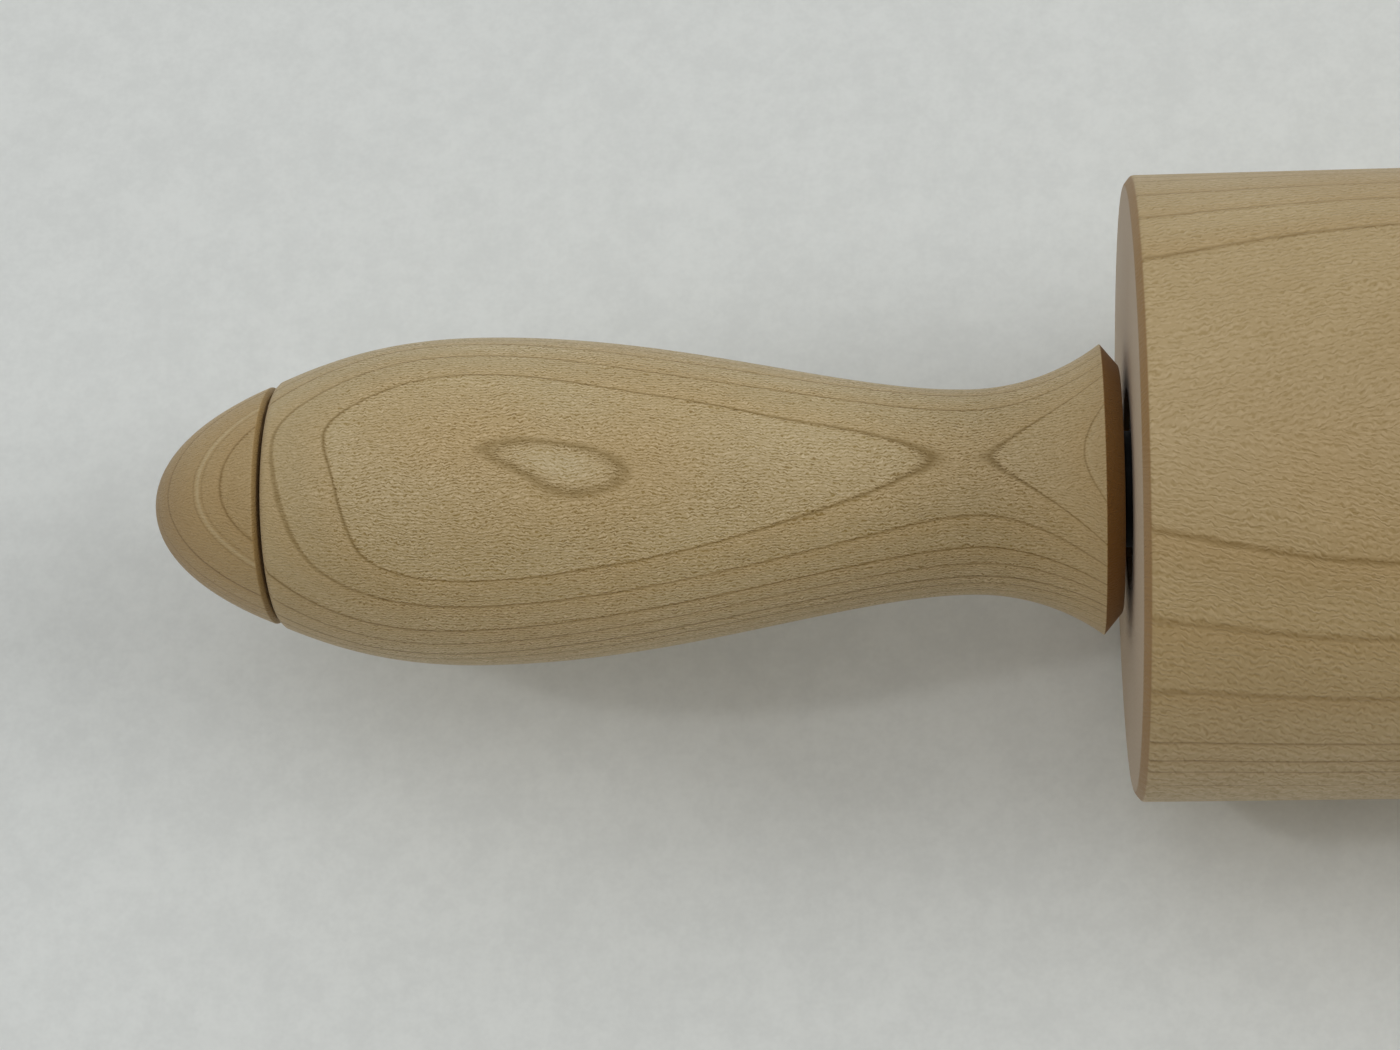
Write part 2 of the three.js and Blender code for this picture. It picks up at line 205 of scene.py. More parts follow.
@dataclass(frozen=True)
class Turning:
    """A half section to be turned about the rod, in the row's X, and what is cut into it.

    The outline is closed back to its first point unless it starts on the axis. Ribs and a thread are
    cut where X is cut_from to cut_to from the pin's middle, at radii over cut_over, and fade in over
    cut_fade.
    """

    outline: list[Point]
    segments: int = 96
    flats: int = 6
    flat_radius: float = NO_FLATS
    rib_count: int = 0
    rib_depth: float = 0.0
    thread_pitch: float = 1.0
    thread_depth: float = 0.0
    cut_from: float = 0.0
    cut_to: float = 0.0
    cut_over: float = 0.0
    cut_fade: float = 0.5

    def bite_at(self, x: float, radius: float) -> float:
        """How much of the ribs and of the thread a point of the outline takes, from 0 to 1."""
        if radius < self.cut_over:
            return 0.0
        inside = min(abs(x) - self.cut_from, self.cut_to - abs(x))
        return max(0.0, min(1.0, inside / self.cut_fade))


@dataclass(frozen=True)
class Mottle:
    """Soft patches: the noise that they come from, and the two values that it is eased between."""

    scale: float
    detail: float = 2.0
    roughness: float = 0.5
    low: float = 0.3
    high: float = 0.7


class NodeBench:
    """A node tree being put together, with short ways to add and join its nodes."""

    def __init__(self, tree: bpy.types.NodeTree) -> None:
        """Starts work on a tree."""
        self.tree = tree

    def add(self, kind: str, **settings: object) -> bpy.types.Node:
        """Adds a node of a kind and sets its properties."""
        node = self.tree.nodes.new(kind)
        for name, value in settings.items():
            setattr(node, name, value)
        return node

    def feed(self, socket: bpy.types.NodeSocket, value: object) -> None:
        """Links a socket to another one, or sets its value."""
        if isinstance(value, bpy.types.NodeSocket):
            self.tree.links.new(value, socket)
        else:
            socket.default_value = value

    def fed(self, kind: str, inputs: dict[str, object], **settings: object) -> bpy.types.Node:
        """Adds a node with its named inputs fed."""
        node = self.add(kind, **settings)
        for name, value in inputs.items():
            self.feed(node.inputs[name], value)
        return node

    def math(self, operation: str, *values: object, clamp: bool = False) -> bpy.types.NodeSocket:
        """The result of a sum on numbers.

        Args:
            operation: The Math node's operation.
            values: Its inputs in order, as numbers or sockets.
            clamp: Whether the result is kept from 0 to 1.

        Returns:
            The node's output.
        """
        node = self.add("ShaderNodeMath", operation=operation, use_clamp=clamp)
        for socket, value in zip(node.inputs, values):
            self.feed(socket, value)
        return node.outputs[0]

    def vector(self, operation: str, *values: object) -> bpy.types.NodeSocket:
        """The result of a sum on vectors."""
        node = self.add("ShaderNodeVectorMath", operation=operation)
        for socket, value in zip(node.inputs, values):
            self.feed(socket, value)
        return node.outputs[0]

    def total(self, *values: object) -> bpy.types.NodeSocket:
        """The sum of several numbers."""
        result = values[0]
        for value in values[1:]:
            result = self.math("ADD", result, value)
        return result

    def product(self, *values: object) -> bpy.types.NodeSocket:
        """The product of several numbers."""
        result = values[0]
        for value in values[1:]:
            result = self.math("MULTIPLY", result, value)
        return result

    def bell(self, value: bpy.types.NodeSocket) -> bpy.types.NodeSocket:
        """A bell over a number: 1 at 0, and next to nothing beyond 2."""
        return self.math("EXPONENT", self.product(value, value, -1.0))

    def parts(self, vector: object) -> tuple[bpy.types.NodeSocket, ...]:
        """The three parts of a vector."""
        return tuple(self.fed("ShaderNodeSeparateXYZ", {"Vector": vector}).outputs)

    def combine(self, x: object, y: object, z: object) -> bpy.types.NodeSocket:
        """A vector from its three parts."""
        return self.fed("ShaderNodeCombineXYZ", {"X": x, "Y": y, "Z": z}).outputs[0]

    def mix(
        self, factor: object, first: object, second: object, blend: str = "MIX"
    ) -> bpy.types.NodeSocket:
        """A blend of two colours.

        Args:
            factor: How much of the second colour shows.
            first: The colour at factor 0.
            second: The colour at factor 1.
            blend: The way they are blended.

        Returns:
            The colour output.
        """
        node = self.add("ShaderNodeMix", data_type="RGBA", blend_type=blend, clamp_factor=True)
        colours = [socket for socket in node.inputs if socket.type == "RGBA"]
        self.feed(node.inputs[0], factor)
        self.feed(colours[0], first)
        self.feed(colours[1], second)
        return next(socket for socket in node.outputs if socket.type == "RGBA")

    def noise(
        self, place: object, scale: float, detail: float = 2.0, roughness: float = 0.5
    ) -> bpy.types.NodeSocket:
        """Smooth noise from 0 to 1 at a place."""
        inputs = {"Vector": place, "Scale": scale, "Detail": detail, "Roughness": roughness}
        return self.fed("ShaderNodeTexNoise", inputs).outputs[0]

    def spread(self, value: object, low: float, high: float) -> bpy.types.NodeSocket:
        """A value eased from 0 at low to 1 at high."""
        inputs = {"Value": value, "From Min": low, "From Max": high}
        return self.fed("ShaderNodeMapRange", inputs, interpolation_type="SMOOTHSTEP").outputs[0]

    def mottled(self, place: object, mottle: Mottle) -> bpy.types.NodeSocket:
        """Soft patches from 0 to 1 at a place."""
        noise = self.noise(place, mottle.scale, mottle.detail, mottle.roughness)
        return self.spread(noise, mottle.low, mottle.high)

    def group(self, tree: bpy.types.NodeTree, inputs: dict[str, object]) -> bpy.types.Node:
        """Adds a node group with its named inputs fed."""
        kind = tree.bl_idname.replace("NodeTree", "NodeGroup")
        return self.fed(kind, inputs, node_tree=tree)


class GroupBench(NodeBench):
    """A node group being put together, with named inputs and outputs."""

    def __init__(self, name: str, kind: str, inputs: dict[str, str], outputs: dict[str, str]) -> None:
        """Starts a group.

        Args:
            name: The group's name.
            kind: The tree's type.
            inputs: Each input's socket type by its name.
            outputs: Each output's socket type by its name.
        """
        super().__init__(bpy.data.node_groups.new(name, kind))
        for label, socket in inputs.items():
            self.tree.interface.new_socket(label, in_out="INPUT", socket_type=socket)
        for label, socket in outputs.items():
            self.tree.interface.new_socket(label, in_out="OUTPUT", socket_type=socket)
        self.given = self.add("NodeGroupInput").outputs
        self.wanted = self.add("NodeGroupOutput").inputs

    def finish(self, outputs: dict[str, bpy.types.NodeSocket]) -> bpy.types.NodeTree:
        """Feeds the group's outputs by name and returns its tree."""
        for name, value in outputs.items():
            self.feed(self.wanted[name], value)
        return self.tree

    def finish_piece(self, geometry: bpy.types.NodeSocket) -> bpy.types.NodeTree:
        """Ends a geometry tree: real geometry, in the material that it is given."""
        real = self.fed("GeometryNodeRealizeInstances", {"Geometry": geometry}).outputs[0]
        dressed = self.fed(
            "GeometryNodeSetMaterial", {"Geometry": real, "Material": self.given["Material"]}
        )
        return self.finish({"Geometry": dressed.outputs[0]})


GEOMETRY = {"Geometry": "NodeSocketGeometry"}
SPHERE_INPUTS = {
    "Count": "NodeSocketInt",
    "Pitch Radius": "NodeSocketFloat",
    "Sphere Radius": "NodeSocketFloat",
    "Centre": "NodeSocketVector",
    "Steps": "NodeSocketInt",
}


class Workshop:
    """The geometry trees that make the pin's pieces, each built once."""

    def __init__(self, bench: Bench) -> None:
        """Builds the lathe, the ring of balls and the pocket cutter."""
        self.bench = bench
        self.spheres = self._sphere_tree()
        self.lathe = self._lathe_tree()
        self.balls = self._ball_tree()
        self.pockets = self._pocket_tree()

    @staticmethod
    def _sphere_tree() -> bpy.types.NodeTree:
        """Spheres spaced evenly round the rod, the first one above it."""
        bench = GroupBench("spheres round the rod", "GeometryNodeTree", SPHERE_INPUTS, GEOMETRY)
        given = bench.given
        circle = bench.fed(
            "GeometryNodeMeshCircle", {"Vertices": given["Count"], "Radius": given["Pitch Radius"]}
        )
        upright = bench.fed("GeometryNodeTransform", {
            "Geometry": circle.outputs[0],
            "Translation": given["Centre"],
            "Rotation": (0.0, -math.pi / 2, 0.0),
        })
        sphere = bench.fed("GeometryNodeMeshUVSphere", {
            "Segments": given["Steps"],
            "Rings": bench.math("DIVIDE", given["Steps"], 2),
            "Radius": given["Sphere Radius"],
        })
        copies = bench.fed(
            "GeometryNodeInstanceOnPoints", {"Points": upright.outputs[0], "Instance": sphere.outputs[0]}
        )
        real = bench.fed("GeometryNodeRealizeInstances", {"Geometry": copies.outputs[0]})
        return bench.finish({"Geometry": real.outputs[0]})

    @staticmethod
    def _cut_depth(
        bench: GroupBench, x: bpy.types.NodeSocket, turns: bpy.types.NodeSocket
    ) -> bpy.types.NodeSocket:
        """How deep the ribs and the thread are cut at a place along the rod and some turns round it."""
        given = bench.given
        wave = bench.math("COSINE", bench.product(turns, math.tau, given["Rib Count"]))
        rib = bench.product(bench.math("MULTIPLY_ADD", wave, 0.5, 0.5), given["Rib Depth"])
        phase = bench.total(bench.math("DIVIDE", x, given["Thread Pitch"]), turns)
        thread = bench.product(bench.math("PINGPONG", phase, 0.5), 2.0, given["Thread Depth"])
        return bench.total(rib, thread)

    @staticmethod
    def _flat_radius(bench: GroupBench, angle: bpy.types.NodeSocket) -> bpy.types.NodeSocket:
        """How far out the flats lie at an angle round the rod, with a corner between two at the top."""
        half_side = bench.math("DIVIDE", math.pi, bench.given["Flats"])
        from_first = bench.math("SUBTRACT", angle, half_side)
        from_nearest = bench.math("WRAP", from_first, half_side, bench.product(half_side, -1.0))
        return bench.math("DIVIDE", bench.given["Flat Radius"], bench.math("COSINE", from_nearest))

    @classmethod
    def _lathe_tree(cls) -> bpy.types.NodeTree:
        """Turns a half section about the rod, and cuts flats, ribs or a thread into it.

        The section's vertices hold X along the rod and Z as the radius. Its attribute named bite says
        how much of the ribs and of the thread each of them takes.
        """
        sizes = ("Axis Height", "Flat Radius", "Rib Depth", "Thread Pitch", "Thread Depth")
        counts = ("Segments", "Flats", "Rib Count")
        inputs = {
            **GEOMETRY,
            **{name: "NodeSocketFloat" for name in sizes},
            **{name: "NodeSocketInt" for name in counts},
            "Material": "NodeSocketMaterial",
        }
        bench = GroupBench("lathe", "GeometryNodeTree", inputs, GEOMETRY)
        given = bench.given
        section = given["Geometry"]
        rows = bench.fed("GeometryNodeAttributeDomainSize", {"Geometry": section}).outputs["Point Count"]
        columns = bench.total(given["Segments"], 1)
        grid = bench.fed("GeometryNodeMeshGrid", {"Vertices X": rows, "Vertices Y": columns})
        index = bench.add("GeometryNodeInputIndex").outputs[0]
        row = bench.math("FLOOR", bench.math("DIVIDE", bench.total(index, 0.5), columns))
        column = bench.math("SUBTRACT", index, bench.product(row, columns))

        position = bench.add("GeometryNodeInputPosition").outputs[0]
        bitten = bench.fed("GeometryNodeInputNamedAttribute", {"Name": "bite"}, data_type="FLOAT")
        sampled = [
            bench.fed(
                "GeometryNodeSampleIndex",
                {"Geometry": section, "Value": value, "Index": row},
                data_type=kind,
                clamp=True,
            ).outputs[0]
            for kind, value in (("FLOAT_VECTOR", position), ("FLOAT", bitten.outputs[0]))
        ]
        x, _, blank_radius = bench.parts(sampled[0])
        turns = bench.math("DIVIDE", column, given["Segments"])
        angle = bench.product(turns, math.tau)
        cut = bench.product(cls._cut_depth(bench, x, turns), sampled[1])
        cut_radius = bench.math("SUBTRACT", blank_radius, cut)
        radius = bench.math("MINIMUM", cut_radius, cls._flat_radius(bench, angle))

        across = bench.product(radius, bench.math("SINE", angle))
        height = bench.math("MULTIPLY_ADD", radius, bench.math("COSINE", angle), given["Axis Height"])
        turned = bench.fed(
            "GeometryNodeSetPosition",
            {"Geometry": grid.outputs[0], "Position": bench.combine(x, across, height)},
        )
        welded = bench.fed(
            "GeometryNodeMergeByDistance", {"Geometry": turned.outputs[0], "Distance": WELD_DISTANCE}
        )
        return bench.finish_piece(welded.outputs[0])

    def _placed_spheres(self, bench: GroupBench) -> bpy.types.NodeSocket:
        """The spheres round the rod, from a tree's own inputs."""
        return bench.group(self.spheres, {name: bench.given[name] for name in SPHERE_INPUTS}).outputs[0]

    def _ball_tree(self) -> bpy.types.NodeTree:
        """A bearing's balls, as one mesh."""
        inputs = {**GEOMETRY, **SPHERE_INPUTS, "Material": "NodeSocketMaterial"}
        bench = GroupBench("bearing balls", "GeometryNodeTree", inputs, GEOMETRY)
        return bench.finish_piece(self._placed_spheres(bench))

    def _pocket_tree(self) -> bpy.types.NodeTree:
        """Cuts a round pocket for each ball out of a cage's blank."""
        inputs = {**GEOMETRY, **SPHERE_INPUTS, "Material": "NodeSocketMaterial"}
        bench = GroupBench("cage pockets", "GeometryNodeTree", inputs, GEOMETRY)
        cut = bench.fed(
            "GeometryNodeMeshBoolean",
            {"Mesh 1": bench.given["Geometry"], "Mesh 2": self._placed_spheres(bench)},
            operation="DIFFERENCE",
            solver="EXACT",
        )
        return bench.finish_piece(cut.outputs[0])

    @staticmethod
    def blank(name: str, points: Sequence[Place] = ()) -> bpy.types.Object:
        """A new object whose mesh is a chain of points, to start a geometry tree from."""
        mesh = bpy.data.meshes.new(name)
        mesh.from_pydata(points, [(i, i + 1) for i in range(len(points) - 1)], [])
        piece = bpy.data.objects.new(name, mesh)
        bpy.context.scene.collection.objects.link(piece)
        return piece

    @staticmethod
    def shape(
        piece: bpy.types.Object, tree: bpy.types.NodeTree, inputs: dict[str, object]
    ) -> bpy.types.Object:
        """Runs a geometry tree on a piece and keeps the result as its plain mesh.

        Args:
            piece: The object that holds the tree's starting geometry.
            tree: The tree to run.
            inputs: The values of the tree's inputs by name.

        Returns:
            The same object, with a closed mesh whose faces point outwards.
        """
        modifier = piece.modifiers.new(tree.name, "NODES")
        modifier.node_group = tree
        for item in tree.interface.items_tree:
            if item.in_out == "INPUT" and item.name in inputs:
                modifier[item.identifier] = inputs[item.name]
        made = piece.evaluated_get(bpy.context.evaluated_depsgraph_get())
        mesh = bpy.data.meshes.new_from_object(made)
        piece.modifiers.remove(modifier)
        start = piece.data
        piece.data = mesh
        bpy.data.meshes.remove(start)
        mesh.name = piece.name
        work = bmesh.new()
        work.from_mesh(mesh)
        bmesh.ops.remove_doubles(work, verts=work.verts, dist=WELD_DISTANCE)
        bmesh.ops.recalc_face_normals(work, faces=work.faces)
        work.to_mesh(mesh)
        work.free()
        mesh.shade_smooth()
        mesh.set_sharp_from_angle(angle=SHARP_EDGE)
        return piece

    def turn(self, name: str, turning: Turning, material: bpy.types.Material) -> bpy.types.Object:
        """Turns a half section into a piece.

        Args:
            name: The piece's name.
            turning: Its half section and what is cut into it.
            material: Its finish.

        Returns:
            The new piece, in its place on the rod.
        """
        outline = turning.outline
        closed = outline if outline[0][1] == 0.0 else [*outline, outline[0]]
        piece = self.blank(name, [(x * MM, 0.0, radius * MM) for x, radius in closed])
        bite = piece.data.attributes.new("bite", "FLOAT", "POINT")
        bite.data.foreach_set("value", [turning.bite_at(*point) for point in closed])
        return self.shape(piece, self.lathe, {
            "Segments": turning.segments,
            "Axis Height": self.bench.axis_height * MM,
            "Flats": turning.flats,
            "Flat Radius": turning.flat_radius * MM,
            "Rib Count": turning.rib_count,
            "Rib Depth": turning.rib_depth * MM,
            "Thread Pitch": turning.thread_pitch * MM,
            "Thread Depth": turning.thread_depth * MM,
            "Material": material,
        })


def hold(piece: bpy.types.Object, body: str, slot: str, *nodes: str) -> None:
    """Puts a finished piece on its body in place of its CAD nodes, and reports it.

    Args:
        piece: The piece, at the origin.
        body: The body that it moves with.
        slot: A material slot's name; not used.
        nodes: The CAD nodes that it stands for.
    """
    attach(piece, body)
    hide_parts(*nodes)
    LOG.info("%s: %d faces on %s, for %s", piece.name, len(piece.data.polygons), body, ", ".join(nodes))


@dataclass(frozen=True)
class FleckShape:
    """How flecks are drawn, in cells as long and as wide as a fleck.

    Ripples turn over across the cells and with the depth, bent by a warp. They fade in and out, and are
    flatter on top than below. Pores are thin dark streaks.
    """

    wander: float = 1.6
    wander_scale: float = 0.22
    tallness: float = 2.5
    side_shift: float = 31.0
    turns_across: float = 0.42
    turns_deep: float = -0.36
    warp: float = 1.8
    warp_stretch: Place = (0.6, 0.38, 0.38)
    fading: Mottle = Mottle(0.85, 0.0, low=0.28, high=0.66)
    fading_shift: Place = (5.0, 9.0, 2.0)
    height: float = 0.22
    flatness: float = 0.2
    patches: Mottle = Mottle(0.16, roughness=0.6)
    patchiness: float = 0.25
    pores: Mottle = Mottle(0.6, 0.0, low=0.66, high=0.78)
    pore_stretch: Place = (0.45, 1.9, 1.9)


class Effects:
    """The shader node groups that several finishes share. Every length in them is in millimetres."""

    waver_stretch: Place = (0.35, 1.0, 1.0)
    slow_waver: float = 0.09
    quick_waver: float = 0.9
    quick_share: float = 0.35
    end_grain_facing: Point = (0.45, 0.97)
    mark_drift: Place = (0.0, 0.02, 0.02)
    mark_roughness: float = 0.7

    def __init__(self) -> None:
        """Builds each group once."""
        self.growth = self._growth_group()
        self.bump = self._bump_group()
        self.flecks = self._fleck_group(FleckShape())
        self.end_grain = self._end_grain_group()
        self.band = self._band_group()
        self.tool_marks = self._tool_mark_group()

    @classmethod
    def _growth_group(cls) -> bpy.types.NodeTree:
        """How deep a place lies in the tree's growth: planes that tilt, bow, twist and waver."""
        bends = ("Tilt Along", "Tilt Across", "Bow", "Twist", "S Bend", "Cone", "Hook")
        numbers = ("Half Length", "Half Width", *bends, "Waver")
        inputs = {"Place": "NodeSocketVector", **{name: "NodeSocketFloat" for name in numbers}}
        bench = GroupBench("growth depth", "ShaderNodeTree", inputs, {"Depth": "NodeSocketFloat"})
        given = bench.given
        x, y, z = bench.parts(given["Place"])
        along = bench.math("DIVIDE", x, given["Half Length"])
        across = bench.math("DIVIDE", y, given["Half Width"])
        shapes = (
            along,
            across,
            bench.product(along, along),
            bench.product(along, across),
            bench.product(along, along, along),
            bench.product(along, across, across),
            bench.product(across, across, across, across, across),
        )
        bent = [bench.product(given[name], shape) for name, shape in zip(bends, shapes)]
        depth = bench.total(z, *bent)
        stretched = bench.vector("MULTIPLY", given["Place"], cls.waver_stretch)
        slow = bench.math("SUBTRACT", bench.noise(stretched, cls.slow_waver, 1.0), 0.5)
        quick = bench.math("SUBTRACT", bench.noise(stretched, cls.quick_waver), 0.5)
        shake = bench.math("MULTIPLY_ADD", quick, cls.quick_share, slow)
        return bench.finish({"Depth": bench.math("MULTIPLY_ADD", shake, given["Waver"], depth)})

    @staticmethod
    def _bump_group() -> bpy.types.NodeTree:
        """What a soft bump in the growth planes adds to the depth of a place."""
        inputs = {name: "NodeSocketVector" for name in ("Place", "At", "Reach")}
        inputs["Height"] = "NodeSocketFloat"
        bench = GroupBench("growth bump", "ShaderNodeTree", inputs, {"Depth": "NodeSocketFloat"})
        given = bench.given
        beside = bench.vector("SUBTRACT", given["Place"], given["At"])
        along, across, _ = bench.parts(bench.vector("DIVIDE", beside, given["Reach"]))
        return bench.finish({"Depth": bench.product(given["Height"], bench.bell(along), bench.bell(across))})

    @staticmethod
    def _fleck_group(shape: FleckShape) -> bpy.types.NodeTree:
        """Short wavy flecks along the grain: bent ripples that come and go, stronger in patches.

        The slant leans them one way where Y is above the fold and the other way where it is below.

        Args:
            shape: How the flecks are drawn.

        Returns:
            The group, which puts out the flecks' height, the ripples and the pores.
        """
        numbers = ("Length", "Width", "Slant", "Fold")
        inputs = {"Place": "NodeSocketVector", **{name: "NodeSocketFloat" for name in numbers}}
        outputs = {name: "NodeSocketFloat" for name in ("Fleck", "Grain", "Pore")}
        bench = GroupBench("wood flecks", "ShaderNodeTree", inputs, outputs)
        given = bench.given
        x, y, z = bench.parts(given["Place"])
        y = bench.math("SUBTRACT", y, given["Fold"])
        half = bench.math("SIGN", y)
        wander = bench.product(bench.noise(given["Place"], shape.wander_scale, 1.0), shape.wander)
        leaned = bench.total(bench.product(x, given["Slant"]), bench.math("ABSOLUTE", y), wander)
        tall = bench.product(given["Width"], shape.tallness)
        cell = bench.combine(
            bench.math("DIVIDE", x, given["Length"]),
            bench.math("DIVIDE", leaned, given["Width"]),
            bench.math("MULTIPLY_ADD", half, shape.side_shift, bench.math("DIVIDE", z, tall)),
        )
        warp = bench.noise(bench.vector("MULTIPLY", cell, shape.warp_stretch), 1.0, 1.0)
        _, cell_across, cell_deep = bench.parts(cell)
        turns = bench.total(
            bench.product(cell_across, shape.turns_across),
            bench.product(cell_deep, shape.turns_deep),
            bench.product(warp, shape.warp),
        )
        ripple = bench.math("SINE", bench.product(turns, math.tau))
        elsewhere = bench.vector("ADD", cell, shape.fading_shift)
        ripple = bench.product(ripple, bench.mottled(elsewhere, shape.fading))
        grain = bench.math("MULTIPLY_ADD", ripple, 0.5, 0.5)
        flattened = bench.math("SUBTRACT", ripple, bench.product(ripple, ripple, shape.flatness))
        patches = bench.mottled(given["Place"], shape.patches)
        strength = bench.math("MULTIPLY_ADD", patches, shape.patchiness, 1.0 - shape.patchiness)
        fleck = bench.product(flattened, shape.height, strength)
        pore = bench.mottled(bench.vector("MULTIPLY", cell, shape.pore_stretch), shape.pores)
        return bench.finish({"Fleck": fleck, "Grain": grain, "Pore": pore})

    @classmethod
    def _end_grain_group(cls) -> bpy.types.NodeTree:
        """Where a surface cuts across the grain, which lies along X."""
        inputs, outputs = {"Normal": "NodeSocketVector"}, {"Mask": "NodeSocketFloat"}
        bench = GroupBench("end grain", "ShaderNodeTree", inputs, outputs)
        facing = bench.math("ABSOLUTE", bench.parts(bench.given["Normal"])[0])
        return bench.finish({"Mask": bench.spread(facing, *cls.end_grain_facing)})

    @staticmethod
    def _band_group() -> bpy.types.NodeTree:
        """A band across the grain, between two places along X."""
        numbers = ("From", "To", "Soft")
        inputs = {"Place": "NodeSocketVector", **{name: "NodeSocketFloat" for name in numbers}}
        bench = GroupBench("burnished band", "ShaderNodeTree", inputs, {"Mask": "NodeSocketFloat"})
        given = bench.given
        x = bench.parts(given["Place"])[0]
        inside = bench.math(
            "MINIMUM", bench.math("SUBTRACT", x, given["From"]), bench.math("SUBTRACT", given["To"], x)
        )
        edge = bench.math("DIVIDE", inside, given["Soft"])
        return bench.finish({"Mask": bench.math("ADD", edge, 0.5, clamp=True)})

    @classmethod
    def _tool_mark_group(cls) -> bpy.types.NodeTree:
        """Fine rings round the rod that a cutting tool leaves, from the distance out and along."""
        inputs = {"Place": "NodeSocketVector", "Spacing": "NodeSocketFloat"}
        bench = GroupBench("tool marks", "ShaderNodeTree", inputs, {"Mark": "NodeSocketFloat"})
        x, y, z = bench.parts(bench.given["Place"])
        out = bench.math("SQRT", bench.total(bench.product(y, y), bench.product(z, z)))
        drift = bench.vector("MULTIPLY", bench.given["Place"], cls.mark_drift)
        place = bench.vector("ADD", bench.combine(x, out, 0.0), drift)
        spacing = bench.combine(*[bench.given["Spacing"]] * 3)
        mark = bench.noise(bench.vector("DIVIDE", place, spacing), 1.0, roughness=cls.mark_roughness)
        return bench.finish({"Mark": mark})


class MaterialBench(NodeBench):
    """A material being put together, with its shader at hand."""

    def __init__(self, name: str) -> None:
        """Starts a material."""
        self.material = bpy.data.materials.new(name)
        self.material.use_nodes = True
        super().__init__(self.material.node_tree)
        self.shader = self.tree.nodes["Principled BSDF"]

    def set(self, name: str, value: object) -> None:
        """Feeds one of the shader's inputs."""
        self.feed(self.shader.inputs[name], value)

    def place(self, centre: Place, turn: float = 0.0) -> bpy.types.NodeSocket:
        """Object coordinates in millimetres about a centre, turned about X.

        Args:
            centre: The centre in the row's frame, in millimetres.
            turn: How far the pattern is turned, in radians.

        Returns:
            The vector output.
        """
        source = self.add("ShaderNodeTexCoord").outputs["Object"]
        inputs = {
            "Vector": source,
            "Location": tuple(part * MM for part in centre),
            "Rotation": (turn, 0.0, 0.0),
            "Scale": (MM, MM, MM),
        }
        return self.fed("ShaderNodeMapping", inputs, vector_type="TEXTURE").outputs[0]

    def raise_by(self, height: bpy.types.NodeSocket, distance: float, strength: float = 0.5) -> None:
        """Gives the surface a relief of a depth in millimetres."""
        inputs = {"Strength": strength, "Distance": distance * MM, "Height": height}
        self.set("Normal", self.fed("ShaderNodeBump", inputs).outputs[0])


@dataclass(frozen=True)
class Ring:
    """One growth line: its depth in the blank, its width and how dark it is."""

    depth: float
    width: float = 0.36
    dark: float = 0.7


@dataclass(frozen=True)
class Bump:
    """A soft bump or, below zero, a hollow in growth planes: its place and reach, along and across."""

    height: float
    at: Point
    reach: Point


@dataclass(frozen=True)
class GrowthPlanes:
    """How a blank's growth planes lie: what each bend adds to the depth at the blank's end or side."""

    tilt_along: float = 0.0
    tilt_across: float = 0.0
    bow: float = 0.0
    twist: float = 0.0
    s_bend: float = 0.0
    cone: float = 0.0
    hook: float = 0.0
    waver: float = 0.5
    bumps: tuple[Bump, ...] = ()


@dataclass(frozen=True)
class Blank:
    """The maple that a piece is turned from: its turn on the lathe, its planes and its growth lines.

    The lines lie between the depths lowest and lowest + repeat, and come again beyond them. The
    flecks lean by the slant, the other way beyond the fold, and lose a share, calm_ends, towards the
    blank's ends. The wood beside a chamfer band gets a share of the warm colour. The bands' brown is
    partly the tool's browning and partly painted shade and warm bounce from the gap beside them.
    """

    turn: float
    planes: GrowthPlanes
    rings: tuple[Ring, ...]
    lowest: float
    repeat: float
    pale_bands: tuple[Ring, ...] = ()
    slant: float = 0.0
    fold: float = 0.0
    fleck_length: float = 0.28
    fleck_width: float = 0.16
    fleck_shade: float = 2.2
    calm_ends: float = 0.0
    tone: Colour = rgb(1.0, 1.0, 1.0)
    end_grain: Colour = rgb(0.340, 0.230, 0.110)
    # The chamfer bands' brown and how much of it shows: partly the tool's browning, partly painted shade and
    # warm bounce from the gaps between parts.
    burnish_and_shade: Colour = rgb(0.250, 0.103, 0.008)
    burnished_and_shaded: float = 0.95
    # How much warmer the wood beside each band is.
    beside_band_warmth: float = 0.0


HANDLE_TONE = rgb(1.035, 1.050, 1.075)
CAP_TONE = rgb(0.950, 0.890, 0.800)
# The cap rim's band colour: partly the tool's browning, partly painted warm bounce and shade from the gap to
# the handle.
CAP_BURNISH_AND_SHADE = rgb(0.340, 0.215, 0.070)
CAP_FLECK_SHADE = 0.85
# The reach of a bump that holds from one side of a blank to the other.
WHOLE_WIDTH = 900.0


